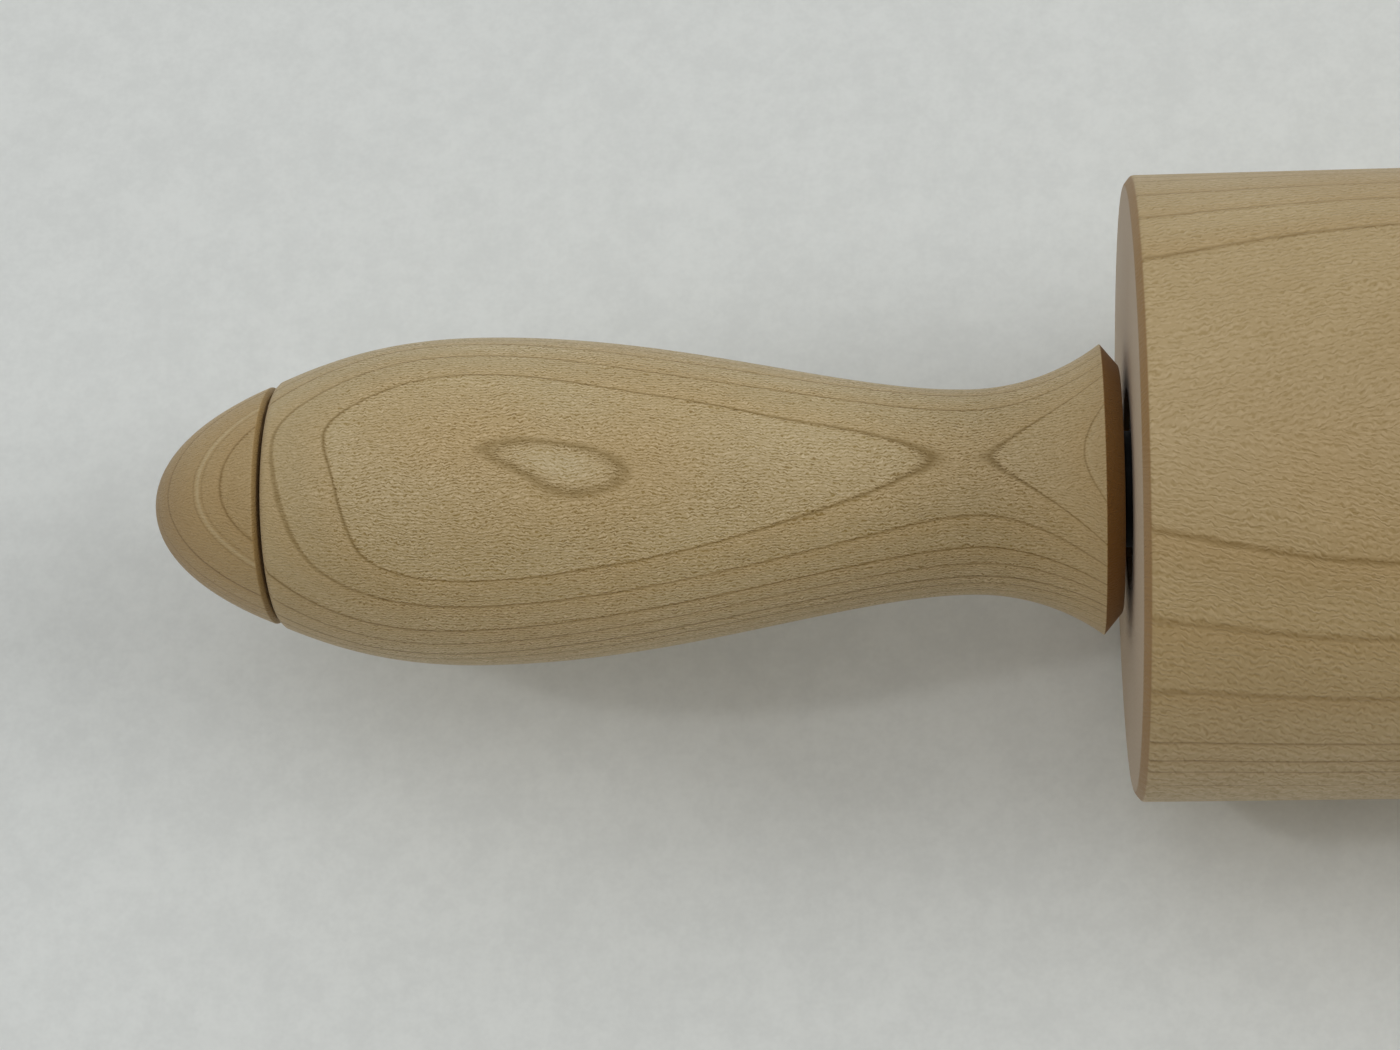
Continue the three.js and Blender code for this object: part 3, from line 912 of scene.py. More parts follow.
class Timber(Enum):
    """The blanks that the wooden pieces are turned from, no two alike."""

    BARREL = Blank(
        turn=math.radians(-10.85),
        planes=GrowthPlanes(
            tilt_along=6.21, twist=2.21, cone=-4.78, hook=-7.29, waver=0.4,
            bumps=(Bump(-0.67, (-152.4, 0.0), (14.0, WHOLE_WIDTH)),),
        ),
        rings=(
            Ring(38.5), Ring(34.5), Ring(30.8, 0.4, 0.6), Ring(25.79, 0.32, 0.78), Ring(22.7, 0.34, 0.64),
            Ring(19.43, 0.34, 0.64), Ring(15.28, 0.34, 0.64), Ring(12.79, 0.34, 0.8), Ring(10.71, 0.34, 0.8),
            Ring(7.03, 0.34, 0.8),
        ),
        lowest=2.0,
        repeat=40.0,
        slant=-0.20,
        fold=-8.8,
        fleck_length=0.44,
        fleck_width=0.26,
        fleck_shade=0.95,
        tone=rgb(0.965, 0.935, 0.905),
        end_grain=rgb(0.600, 0.530, 0.450),
        burnish_and_shade=rgb(0.300, 0.168, 0.050),
    )
    HANDLE_LEFT = Blank(
        turn=math.radians(13),
        planes=GrowthPlanes(
            tilt_along=4.34, tilt_across=3.8, bow=-0.78, twist=1.65, s_bend=-2.36, cone=-5.47,
            waver=0.25,
            bumps=(
                # Round the neck: raised behind, and hollow in front of that, towards the flare.
                Bump(1.5, (30.5, 13.0), (20.0, 8.0)), Bump(-0.7, (33.5, -3.0), (14.0, 5.0)),
                # Hollow where the grip leaves the neck, and a little at the rim of the flare.
                Bump(-0.7, (7.5, 4.0), (9.0, 6.0)), Bump(-0.1, (44.0, 1.0), (5.0, 7.0)),
                # Round the island on the grip: raised in front, hollow behind it and beside it.
                Bump(0.7, (-27.0, -6.5), (12.0, 3.0)), Bump(-0.65, (-24.0, 1.5), (8.5, 3.0)),
                Bump(-0.6, (-6.0, 12.0), (12.0, 6.5)),
                # At the outer end: raised behind, and hollow in the middle.
                Bump(0.55, (-43.5, 9.0), (7.0, 3.5)), Bump(-0.6, (-41.5, 1.0), (5.5, 5.5)),
            ),
        ),
        rings=(
            Ring(16.77, 0.09, 0.9), Ring(13.93, 0.18, 0.85), Ring(11.74, 0.22, 0.95),
            Ring(9.25, 0.26, 1.0), Ring(7.35, 0.28, 0.85), Ring(5.28, 0.42, 1.0), Ring(3.7, 0.36, 0.9),
            Ring(1.6), Ring(-1.1), Ring(-3.9),
        ),
        lowest=-6.0,
        repeat=25.0,
        pale_bands=(Ring(17.05, 0.45, 0.4),),
        calm_ends=0.7,
        beside_band_warmth=0.6,
        tone=HANDLE_TONE,
    )
    HANDLE_RIGHT = Blank(
        turn=math.radians(-38),
        planes=GrowthPlanes(
            tilt_along=-3.1, tilt_across=2.2, bow=1.1, twist=-0.9, s_bend=1.4, cone=2.6, waver=0.7
        ),
        rings=(
            Ring(16.1, 0.26, 0.8), Ring(13.2), Ring(10.9), Ring(7.6), Ring(4.1), Ring(1.2), Ring(-1.9),
            Ring(-4.4),
        ),
        lowest=-7.0,
        repeat=26.0,
        calm_ends=0.7,
        beside_band_warmth=0.6,
        tone=HANDLE_TONE,
    )
    CAP_LEFT = Blank(
        turn=math.radians(13),
        planes=GrowthPlanes(tilt_along=-0.16, tilt_across=2.81, waver=0.35),
        rings=(
            Ring(11.94, 0.24, 0.8), Ring(10.62, 0.2, 0.4), Ring(9.9, 0.2, 0.4), Ring(6.87, 0.36, 0.9),
            Ring(4.4), Ring(2.9), Ring(1.7), Ring(0.4), Ring(-1.2), Ring(-3.1),
        ),
        lowest=-5.0,
        repeat=19.0,
        pale_bands=(Ring(10.27, 0.45, 0.95),),
        fleck_shade=CAP_FLECK_SHADE,
        tone=CAP_TONE,
        burnish_and_shade=CAP_BURNISH_AND_SHADE,
    )
    CAP_RIGHT = Blank(
        turn=math.radians(64),
        planes=GrowthPlanes(tilt_along=0.4, tilt_across=-1.6, waver=0.4),
        rings=(Ring(10.9), Ring(8.1), Ring(5.6), Ring(3.2), Ring(1.4), Ring(-0.8), Ring(-2.7)),
        lowest=-5.0,
        repeat=18.0,
        fleck_shade=CAP_FLECK_SHADE,
        tone=CAP_TONE,
        burnish_and_shade=CAP_BURNISH_AND_SHADE,
    )


@dataclass(frozen=True)
class MapleFinish:
    """Sanded maple, with the growth lines of the blank that it was cut from.

    The bands are the chamfers beside the gaps, each by its two places along the grain from the centre.
    Their brown is partly the tool's browning and partly painted shade with painted warm bounce.
    """

    name: str
    blank: Blank
    centre: Place
    half_length: float
    half_width: float
    bands: tuple[Point, ...]
    light: Colour = rgb(0.510, 0.392, 0.205)
    deep: Colour = rgb(0.455, 0.338, 0.165)
    warm: Colour = rgb(0.480, 0.332, 0.146)
    line: Colour = rgb(0.180, 0.106, 0.010)
    pale: Colour = rgb(0.600, 0.500, 0.300)
    clouds: Mottle = Mottle(0.045, roughness=0.55)
    seasons: Mottle = Mottle(0.45, 1.0)
    warmth: Mottle = Mottle(0.05, 1.0, low=0.45, high=0.75)
    warmth_shift: Place = (70.0, 0.0, 0.0)
    warmth_share: float = 0.4
    line_sides: Point = (-0.62, 0.38)
    line_sway: float = 0.12
    line_break_scale: float = 0.55
    line_break_roughness: float = 0.6
    line_break_range: Point = (0.5, 0.9)
    halo: float = 1.3
    halo_room: float = 0.8
    halo_end: float = 0.15
    halo_share: float = 0.6
    pale_calm: float = 0.6
    fleck_tint: Place = (0.85, 1.0, 1.6)
    fleck_floor: Place = (0.3, 0.3, 0.3)
    pore_shade: float = 0.03
    calm_reach: float = 12.0
    # How far beside a band the wood is warmer.
    beside_band_reach: float = 7.0
    end_grain_share: float = 0.85
    band_soft: float = 0.15
    band_uneven: float = 0.15
    roughness: float = 0.50
    grain_gloss: float = 0.10
    end_grain_dullness: float = 0.15
    specular: float = 0.5
    sheen: float = 0.06
    sheen_roughness: float = 0.4
    pore_depth: float = 0.4
    relief_depth: float = 0.06
    relief_strength: float = 0.8

    def lines(self, rings: Sequence[Ring]) -> list[Point]:
        """The levels of thin lines, each with a slow side and a quick one."""
        slow, quick = self.line_sides
        return [
            (ring.depth + offset * ring.width, level)
            for ring in rings
            for offset, level in ((slow, 0.0), (0.0, ring.dark), (quick, 0.0))
        ]

    def halos(self) -> list[Point]:
        """The levels of the warm wood that leads up to each line."""
        levels: list[Point] = []
        rings = self.blank.rings
        for ring, floor in zip(rings, [*[ring.depth for ring in rings[1:]], self.blank.lowest]):
            reach = min(self.halo, self.halo_room * (ring.depth - floor))
            levels += [
                (ring.depth - reach, 0.0), (ring.depth, ring.dark), (ring.depth + self.halo_end, 0.0)
            ]
        return levels

    def material(self, effects: Effects) -> bpy.types.Material:
        """Builds the finish's material."""
        blank = self.blank
        bench = MapleBench(self, effects)
        fleck, grain, pore = bench.flecks()
        depth = bench.depth(fleck)
        colour = bench.bare(depth)
        if blank.pale_bands:
            pale = bench.mask(depth, self.lines(blank.pale_bands))
            colour = bench.mix(pale, colour, self.pale)
            fleck = bench.product(fleck, bench.math("MULTIPLY_ADD", pale, -self.pale_calm, 1.0))
        colour = bench.lined(bench.warmed(colour, depth), depth)
        colour = bench.flecked(colour, fleck, pore)
        colour = bench.mix(1.0, colour, blank.tone, "MULTIPLY")
        normal = bench.add("ShaderNodeTexCoord").outputs["Normal"]
        across = bench.group(effects.end_grain, {"Normal": normal}).outputs["Mask"]
        colour = bench.mix(bench.product(across, self.end_grain_share), colour, blank.end_grain)
        bench.set("Base Color", bench.browned_and_shaded(colour))

        rough = bench.math("MULTIPLY_ADD", grain, -self.grain_gloss, self.roughness + self.grain_gloss / 2)
        bench.set("Roughness", bench.math("MULTIPLY_ADD", across, self.end_grain_dullness, rough))
        bench.set("Specular IOR Level", self.specular)
        bench.set("Sheen Weight", self.sheen)
        bench.set("Sheen Roughness", self.sheen_roughness)
        height = bench.math("MULTIPLY_ADD", pore, -self.pore_depth, grain)
        bench.raise_by(height, self.relief_depth, self.relief_strength)
        return bench.material


class MapleBench(MaterialBench):
    """A maple material being put together, one layer over the other."""

    def __init__(self, finish: MapleFinish, effects: Effects) -> None:
        """Starts a finish's material.

        Args:
            finish: The finish, whose centre places are measured from.
            effects: The shared node groups.
        """
        super().__init__(finish.name)
        self.finish = finish
        self.blank = finish.blank
        self.effects = effects
        self.spot = self.place(finish.centre, finish.blank.turn)
        self.clouds = self.mottled(self.spot, finish.clouds)

    def between(self, start: float, end: float, soft: float) -> bpy.types.NodeSocket:
        """A mask of the wood from one place along the grain to another, soft at both."""
        inputs = {"Place": self.spot, "From": start, "To": end, "Soft": soft}
        return self.group(self.effects.band, inputs).outputs["Mask"]

    def mask(self, depth: bpy.types.NodeSocket, levels: Sequence[Point]) -> bpy.types.NodeSocket:
        """A mask over the growth depth.

        Args:
            depth: The growth depth.
            levels: Depths and the mask's level at each, straight in between.

        Returns:
            The mask, from 0 to 1.
        """
        lowest, repeat = self.blank.lowest, self.blank.repeat
        share = self.math("FRACT", self.math("DIVIDE", self.math("SUBTRACT", depth, lowest), repeat))
        ramp = self.fed("ShaderNodeValToRGB", {"Fac": share})
        stops = ramp.color_ramp.elements
        stops[0].color = stops[1].color = rgb(0.0, 0.0, 0.0)
        for place, level in levels:
            stops.new((place - lowest) / repeat).color = rgb(level, level, level)
        return ramp.outputs[0]

    def flecks(self) -> tuple[bpy.types.NodeSocket, ...]:
        """The flecks' height, calmer towards the blank's ends, then the ripples and the pores."""
        blank, reach = self.blank, self.finish.calm_reach
        flecks = self.group(self.effects.flecks, {
            "Place": self.spot,
            "Length": blank.fleck_length,
            "Width": blank.fleck_width,
            "Slant": blank.slant,
            "Fold": blank.fold,
        }).outputs
        fleck = flecks["Fleck"]
        if blank.calm_ends:
            lively = self.finish.half_length - reach / 2
            middle = self.between(-lively, lively, reach)
            lull = self.math("MULTIPLY_ADD", middle, blank.calm_ends, 1.0 - blank.calm_ends)
            fleck = self.product(fleck, lull)
        return fleck, flecks["Grain"], flecks["Pore"]

    def depth(self, fleck: bpy.types.NodeSocket) -> bpy.types.NodeSocket:
        """How deep a place lies in the blank's growth, swayed by the flecks' height."""
        planes = self.blank.planes
        depth = self.group(self.effects.growth, {
            "Place": self.spot,
            "Half Length": self.finish.half_length,
            "Half Width": self.finish.half_width,
            "Tilt Along": planes.tilt_along,
            "Tilt Across": planes.tilt_across,
            "Bow": planes.bow,
            "Twist": planes.twist,
            "S Bend": planes.s_bend,
            "Cone": planes.cone,
            "Hook": planes.hook,
            "Waver": planes.waver,
        }).outputs["Depth"]
        for bump in planes.bumps:
            raised = self.group(self.effects.bump, {
                "Place": self.spot,
                "At": (*bump.at, 0.0),
                "Reach": (*bump.reach, 1.0),
                "Height": bump.height,
            })
            depth = self.total(depth, raised.outputs["Depth"])
        return self.math("MULTIPLY_ADD", fleck, self.finish.line_sway, depth)

    def bare(self, depth: bpy.types.NodeSocket) -> bpy.types.NodeSocket:
        """The colour of bare wood at a growth depth: clouds and seasons, with warm patches."""
        finish = self.finish
        seasons = self.mottled(self.combine(depth, 0.0, 0.0), finish.seasons)
        warmth = self.mottled(self.vector("ADD", self.spot, finish.warmth_shift), finish.warmth)
        tone = self.math("MULTIPLY_ADD", seasons, 0.5, self.product(self.clouds, 0.5))
        colour = self.mix(tone, finish.light, finish.deep)
        return self.mix(self.product(warmth, finish.warmth_share), colour, finish.warm)

    def warmed(
        self, colour: bpy.types.NodeSocket, depth: bpy.types.NodeSocket
    ) -> bpy.types.NodeSocket:
        """A colour, warmer on the way to each line and, in some blanks, beside each band."""
        finish, reach = self.finish, self.finish.beside_band_reach
        halos = self.product(self.mask(depth, finish.halos()), finish.halo_share)
        colour = self.mix(halos, colour, finish.warm)
        if self.blank.beside_band_warmth:
            for start, end in finish.bands:
                near = self.between(start - reach, end + reach, 2 * reach)
                colour = self.mix(self.product(near, self.blank.beside_band_warmth), colour, finish.warm)
        return colour

    def lined(self, colour: bpy.types.NodeSocket, depth: bpy.types.NodeSocket) -> bpy.types.NodeSocket:
        """A colour with the growth lines drawn over it, fainter here and there."""
        finish = self.finish
        faintest, more = finish.line_break_range
        breaks = self.noise(self.spot, finish.line_break_scale, roughness=finish.line_break_roughness)
        broken = self.math("MULTIPLY_ADD", breaks, more, faintest, clamp=True)
        lines = self.product(self.mask(depth, finish.lines(self.blank.rings)), broken)
        return self.mix(lines, colour, finish.line)

    def flecked(
        self, colour: bpy.types.NodeSocket, fleck: bpy.types.NodeSocket, pore: bpy.types.NodeSocket
    ) -> bpy.types.NodeSocket:
        """A colour that the flecks lighten and darken, and the pores darken."""
        relief = self.math("MULTIPLY_ADD", pore, -self.finish.pore_shade, fleck)
        shades = [
            self.math("MULTIPLY_ADD", relief, self.blank.fleck_shade * share, 1.0)
            for share in self.finish.fleck_tint
        ]
        shade = self.vector("MAXIMUM", self.combine(*shades), self.finish.fleck_floor)
        return self.mix(1.0, colour, shade, "MULTIPLY")

    def browned_and_shaded(self, colour: bpy.types.NodeSocket) -> bpy.types.NodeSocket:
        """A colour with the chamfer bands over it, a little uneven: tool browning and painted gap shade."""
        blank, finish = self.blank, self.finish
        uneven = self.math("MULTIPLY_ADD", self.clouds, -finish.band_uneven, blank.burnished_and_shaded)
        for start, end in finish.bands:
            band = self.between(start, end, finish.band_soft)
            colour = self.mix(self.product(band, uneven), colour, blank.burnish_and_shade)
        return colour


@dataclass(frozen=True)
class MetalFinish:
    """Turned or polished metal, with fine tool marks round the rod."""

    name: str
    colour: Colour
    roughness: float
    mark_spacing: float = 0.08
    mark_height: float = 0.004
    tarnish: Colour = rgb(0.35, 0.34, 0.32)
    tarnished: float = 0.15
    stains: Mottle = Mottle(0.35, 3.0, 0.6, 0.45, 0.8)
    stain_dullness: float = 0.1
    mark_dullness: float = 0.12
    mark_gloss: float = 0.05

    def material(self, effects: Effects, centre: Place) -> bpy.types.Material:
        """Builds the finish's material about a point of the rod, in millimetres."""
        bench = MaterialBench(self.name)
        place = bench.place(centre)
        marks = bench.group(effects.tool_marks, {"Place": place, "Spacing": self.mark_spacing})
        mark = marks.outputs["Mark"]
        stain = bench.mottled(place, self.stains)
        colour = bench.mix(bench.product(stain, self.tarnished), self.colour, self.tarnish)
        bench.set("Base Color", colour)
        bench.set("Metallic", 1.0)
        rough = bench.math("MULTIPLY_ADD", mark, self.mark_dullness, self.roughness - self.mark_gloss)
        bench.set("Roughness", bench.math("MULTIPLY_ADD", stain, self.stain_dullness, rough))
        bench.raise_by(mark, self.mark_height)
        return bench.material


@dataclass(frozen=True)
class MouldedFinish:
    """Moulded nylon or rubber, with a faint grain and mottled tone."""

    name: str
    colour: Colour
    shade: Colour
    roughness: float
    grain: float = 3.0
    grain_height: float = 0.01
    grain_roughness: float = 0.6
    grain_dullness: float = 0.15
    grain_gloss: float = 0.07
    mottle: Mottle = Mottle(0.4, 3.0, 0.6, 0.3, 0.75)
    ring_spacing: float = 0.3
    ring_share: float = 0.3

    def material(self, effects: Effects, centre: Place) -> bpy.types.Material:
        """Builds the finish's material about a point of the rod, in millimetres."""
        bench = MaterialBench(self.name)
        place = bench.place(centre)
        bench.set("Base Color", bench.mix(bench.mottled(place, self.mottle), self.colour, self.shade))
        rings = bench.group(effects.tool_marks, {"Place": place, "Spacing": self.ring_spacing})
        grain = bench.noise(place, self.grain, roughness=self.grain_roughness)
        rough = bench.math("MULTIPLY_ADD", grain, self.grain_dullness, self.roughness - self.grain_gloss)
        bench.set("Roughness", rough)
        height = bench.math("MULTIPLY_ADD", rings.outputs["Mark"], self.ring_share, grain)
        bench.raise_by(height, self.grain_height)
        return bench.material


class Stuff(Enum):
    """The finishes of the pieces inside the pin."""

    ROD_STEEL = MetalFinish("ground rod steel", rgb(0.56, 0.57, 0.58), 0.30, 0.06, 0.003)
    RACE_STEEL = MetalFinish("bearing race steel", rgb(0.60, 0.60, 0.61), 0.22, 0.05, 0.002)
    BALL_STEEL = MetalFinish("polished ball steel", rgb(0.72, 0.73, 0.74), 0.09, 0.05, 0.0005)
    ZINC = MetalFinish(
        "zinc plated steel", rgb(0.58, 0.59, 0.60), 0.36, 0.12, 0.004, rgb(0.42, 0.42, 0.40), 0.4
    )
    BRASS = MetalFinish(
        "machined brass", rgb(0.68, 0.48, 0.20), 0.30, 0.09, 0.005, rgb(0.34, 0.22, 0.09), 0.3
    )
    CAGE_NYLON = MouldedFinish("cage nylon", rgb(0.55, 0.52, 0.42), rgb(0.46, 0.43, 0.34), 0.48)
    # Near black so that the gap between handle and barrel, where the bushes and thrust washer show, reads as
    # deep shade: painted shade.
    BUSH_NYLON = MouldedFinish("bush nylon", rgb(0.013, 0.013, 0.013), rgb(0.020, 0.019, 0.019), 0.62)
    RUBBER = MouldedFinish(
        "seal rubber", rgb(0.020, 0.020, 0.021), rgb(0.032, 0.031, 0.030), 0.62, 6.0, 0.015
    )


class Materials:
    """Every finish of the pin, built once."""

    def __init__(self, bench: Bench) -> None:
        """Builds the shared effects and the finishes of the pieces inside the pin."""
        self.effects = Effects()
        self._inner = {
            stuff: stuff.value.material(self.effects, bench.rod_middle) for stuff in Stuff
        }

    def inner(self, stuff: Stuff) -> bpy.types.Material:
        """The material of a piece inside the pin."""
        return self._inner[stuff]

    def maple(
        self,
        timber: Timber,
        centre: Place,
        half_length: float,
        half_width: float,
        burnished_and_shaded: Sequence[Point],
    ) -> bpy.types.Material:
        """The material of a wooden piece.

        Args:
            timber: The blank that it is turned from.
            centre: The blank's centre in the row's frame, in millimetres.
            half_length: Half the blank's length.
            half_width: Half its width.
            burnished_and_shaded: The chamfer bands, brown partly from the tool and partly as painted shade
                by
            the gaps, each by its two places in the row's X.

        Returns:
            The new material.
        """
        name = f"maple {timber.name.lower().replace('_', ' ')}"
        bands = tuple((min(band) - centre[0], max(band) - centre[0]) for band in burnished_and_shaded)
        finish = MapleFinish(name, timber.value, centre, half_length, half_width, bands)
        return finish.material(self.effects)


@dataclass(frozen=True)
class InnerPiece:
    """A plain turned piece inside the pin: its name, half section, finish, body, slot and CAD node."""

    stem: str
    outline: list[Point]
    stuff: Stuff
    body: str
    slot: str
    node: str

    def build(
        self, bench: Bench, side: Side, segments: int, workshop: Workshop, materials: Materials
    ) -> None:
        """Turns the piece and dresses it.

        Args:
            bench: Where the frame holds the rod and the barrel's end faces.
            side: The end of the pin that the piece belongs to.
            segments: The steps round the rod.
            workshop: The geometry trees.
            materials: The finishes.
        """
        turning = Turning(bench.outward(side, self.outline), segments)
        piece = workshop.turn(side.of(self.stem), turning, materials.inner(self.stuff))
        hold(piece, self.body, self.slot, side.of(self.node))


@dataclass(frozen=True)
class Barrel:
    """The maple roller, bored through, with a bearing's seat in each end."""

    bench: Bench
    edge_length: float = 0.8
    edge_drop: float = 1.06
    edge_soften: float = 0.35
    seat_radius: float = 11.1
    seat_depth: float = 7.7
    seat_soften: float = 0.3
    bore_radius: float = 6.0
    bore_soften: float = 0.2
    segments: int = 256

    def outline(self) -> list[Point]:
        """The roller's closed half section."""
        half = self.bench.half_barrel
        rim = self.bench.barrel_radius - self.edge_drop
        right = [
            Corner(half - self.edge_length, self.bench.barrel_radius, self.edge_soften),
            Corner(half, rim, self.edge_soften),
            Corner(half, self.seat_radius, self.seat_soften),
            Corner(half - self.seat_depth, self.seat_radius),
            Corner(half - self.seat_depth, self.bore_radius, self.bore_soften),
        ]
        left = [Corner(-corner.along, corner.radius, corner.soften) for corner in reversed(right)]
        return softened([*right, *left])

    def build(self, workshop: Workshop, materials: Materials) -> None:
        """Turns the roller and dresses it."""
        bench = self.bench
        half = bench.half_barrel
        # The edge chamfers: brown bands, partly the tool's browning, partly painted shade from the gap by
        # the handle.
        edges = [(side.value * half, side.value * (half - self.edge_length)) for side in Side]
        maple = materials.maple(Timber.BARREL, bench.rod_middle, half, bench.barrel_radius, edges)
        roller = workshop.turn("roller", Turning(self.outline(), self.segments), maple)
        hold(roller, "barrel", "barrel_maple", "barrel")


@dataclass(frozen=True)
class Rod:
    """The steel rod, stepped down to a journal with a threaded tip at each end."""

    bench: Bench
    middle_radius: float = 5.0
    journal_radius: float = 4.0
    shoulder: float = -7.7
    shoulder_soften: float = 0.2
    tip_chamfer: float = 0.8
    thread_length: float = 18.5
    thread_pitch: float = 1.25
    thread_depth: float = 0.62
    thread_slack: float = 0.01
    steps_per_turn: int = 12
    segments: int = 64

    def build(self, workshop: Workshop, materials: Materials) -> None:
        """Turns the rod, threads its tips and dresses it."""
        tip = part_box("axle_rod")[1].x / MM
        shoulder = self.bench.half_barrel + self.shoulder
        thread_end = tip - self.tip_chamfer
        thread_start = thread_end - self.thread_length
        steps = round(self.thread_length / self.thread_pitch * self.steps_per_turn)
        threaded = [
            (thread_start + self.thread_length * step / steps, self.journal_radius)
            for step in range(steps + 1)
        ]
        right: list[Point] = [
            (shoulder - self.shoulder_soften, self.middle_radius),
            (shoulder, self.middle_radius - self.shoulder_soften),
            (shoulder, self.journal_radius),
            *threaded,
            (tip, self.journal_radius - self.tip_chamfer),
            (tip, 0.0),
        ]
        left = [(-x, radius) for x, radius in reversed(right)]
        turning = Turning(
            [*left, *right],
            self.segments,
            thread_pitch=self.thread_pitch,
            thread_depth=self.thread_depth,
            cut_from=thread_start,
            cut_to=tip,
            cut_over=self.journal_radius - self.thread_slack,
            cut_fade=self.thread_pitch,
        )
        rod = workshop.turn("rod", turning, materials.inner(Stuff.ROD_STEEL))
        hold(rod, "axle", "rod_steel", "axle_rod")


@dataclass(frozen=True)
class Bearing:
    """A sealed ball bearing in the barrel's end: two rings, seven balls, a crown cage and two seals."""

    bench: Bench
    side: Side
    bore_radius: float = 4.1
    outside_radius: float = 11.0
    pitch_radius: float = 7.5
    ball_radius: float = 1.985
    ball_count: int = 7
    groove_radius: float = 2.135
    groove_depth: float = 0.55
    groove_steps: int = 16
    edge_soften: float = 0.35
    lip_soften: float = 0.1
    outer_land_soften: float = 0.05
    inner_land_soften: float = 0.15
    seal_step: float = 0.4
    seal_seat: float = 2.785
    seal_inside: float = 6.115
    seal_outside: float = 9.385
    seal_lip: float = 0.55
    seal_rim: float = 0.65
    seal_slope: float = 0.25
    seal_dish: float = 0.14
    seal_dish_soften: float = 0.15
    seal_front_soften: float = 0.12
    seal_back_soften: float = 0.08
    pocket_radius: float = 2.085
    cage_inside: float = 6.515
    cage_outside: float = 8.485
    cage_soften: float = 0.12
    segments: int = 84
    ball_steps: int = 32

    @property
    def faces(self) -> Point:
        """The bearing's two faces, outwards from the barrel's end face."""
        return self.bench.span(self.side, "bearing_inner_ring")

    @property
    def middle(self) -> float:
        """The plane through the balls' centres."""
        return sum(self.faces) / 2

    def shoulder(self, outer: bool) -> float:
        """The radius of the land beside a ring's groove."""
        reach = self.groove_radius - self.groove_depth
        return self.pitch_radius + (reach if outer else -reach)

    def groove(self, outer: bool) -> list[Corner]:
        """The round bottom of a ring's groove, towards the outside of the pin."""
        half_angle = math.acos(1 - self.groove_depth / self.groove_radius)
        bulge = self.groove_radius if outer else -self.groove_radius
        corners: list[Corner] = []
        for step in range(self.groove_steps + 1):
            angle = half_angle * (2 * step / self.groove_steps - 1)
            along = self.middle + self.groove_radius * math.sin(angle)
            corners.append(Corner(along, self.pitch_radius + bulge * math.cos(angle)))
        return corners

    def outer_ring(self) -> list[Point]:
        """The outer ring's half section, with a step at each face that a seal sits in."""
        start, end = self.faces
        land = self.shoulder(outer=True)
        lip = land + self.seal_step
        seats = (self.middle - self.seal_seat, self.middle + self.seal_seat)
        return softened([
            Corner(start, self.outside_radius, self.edge_soften),
            Corner(end, self.outside_radius, self.edge_soften),
            Corner(end, lip, self.lip_soften),
            Corner(seats[1], lip),
            Corner(seats[1], land, self.outer_land_soften),
            *reversed(self.groove(outer=True)),
            Corner(seats[0], land, self.outer_land_soften),
            Corner(seats[0], lip),
            Corner(start, lip, self.lip_soften),
        ])

    def inner_ring(self) -> list[Point]:
        """The inner ring's half section."""
        start, end = self.faces
        land = self.shoulder(outer=False)
        return softened([
            Corner(start, self.bore_radius, self.edge_soften),
            Corner(start, land, self.inner_land_soften),
            *self.groove(outer=False),
            Corner(end, land, self.inner_land_soften),
            Corner(end, self.bore_radius, self.edge_soften),
        ])

    def seal(self, stem: str, outward: int) -> list[Point]:
        """A seal's half section: a rim, a dished band and a lip, seen from the bearing's outside.

        Args:
            stem: The seal's node, without its side.
            outward: 1 where its front looks out of the pin, and -1 where it looks in.

        Returns:
            The closed outline.
        """
        places = self.bench.span(self.side, stem)
        back, front = places if outward == 1 else reversed(places)
        dish = front - outward * self.seal_dish
        lip, rim = self.seal_inside + self.seal_lip, self.seal_outside - self.seal_rim
        return softened([
            Corner(back, self.seal_inside, self.seal_back_soften),
            Corner(front, self.seal_inside, self.seal_front_soften),
            Corner(front, lip, self.seal_dish_soften),
            Corner(dish, lip + self.seal_slope, self.seal_dish_soften),
            Corner(dish, rim - self.seal_slope, self.seal_dish_soften),
            Corner(front, rim, self.seal_dish_soften),
            Corner(front, self.seal_outside, self.seal_front_soften),
            Corner(back, self.seal_outside, self.seal_back_soften),
        ])

    def spheres(self, radius: float, stuff: Stuff, materials: Materials) -> dict[str, object]:
        """A geometry tree's inputs for spheres of a radius at the balls' places, in a finish."""
        x = self.bench.row_x(self.side, self.middle)
        return {
            "Count": self.ball_count,
            "Pitch Radius": self.pitch_radius * MM,
            "Sphere Radius": radius * MM,
            "Centre": (x * MM, 0.0, self.bench.axis_height * MM),
            "Steps": self.ball_steps,
            "Material": materials.inner(stuff),
        }

    def build(self, workshop: Workshop, materials: Materials) -> None:
        """Makes the bearing's pieces and dresses them."""
        bench, side = self.bench, self.side
        cage_body = side.of("ball_cage")
        steel, rubber = Stuff.RACE_STEEL, Stuff.RUBBER
        outer, inner = self.outer_ring(), self.inner_ring()
        front, back = self.seal("bearing_seal_outside", 1), self.seal("bearing_seal_inside", -1)
        for piece in (
            InnerPiece("outer_race", outer, steel, "barrel", "bearing_steel", "bearing_outer_ring"),
            InnerPiece("inner_race", inner, steel, "axle", "bearing_steel", "bearing_inner_ring"),
            InnerPiece("front_seal", front, rubber, "barrel", "seal_rubber", "bearing_seal_outside"),
            InnerPiece("back_seal", back, rubber, "barrel", "seal_rubber", "bearing_seal_inside"),
        ):
            piece.build(bench, side, self.segments, workshop, materials)

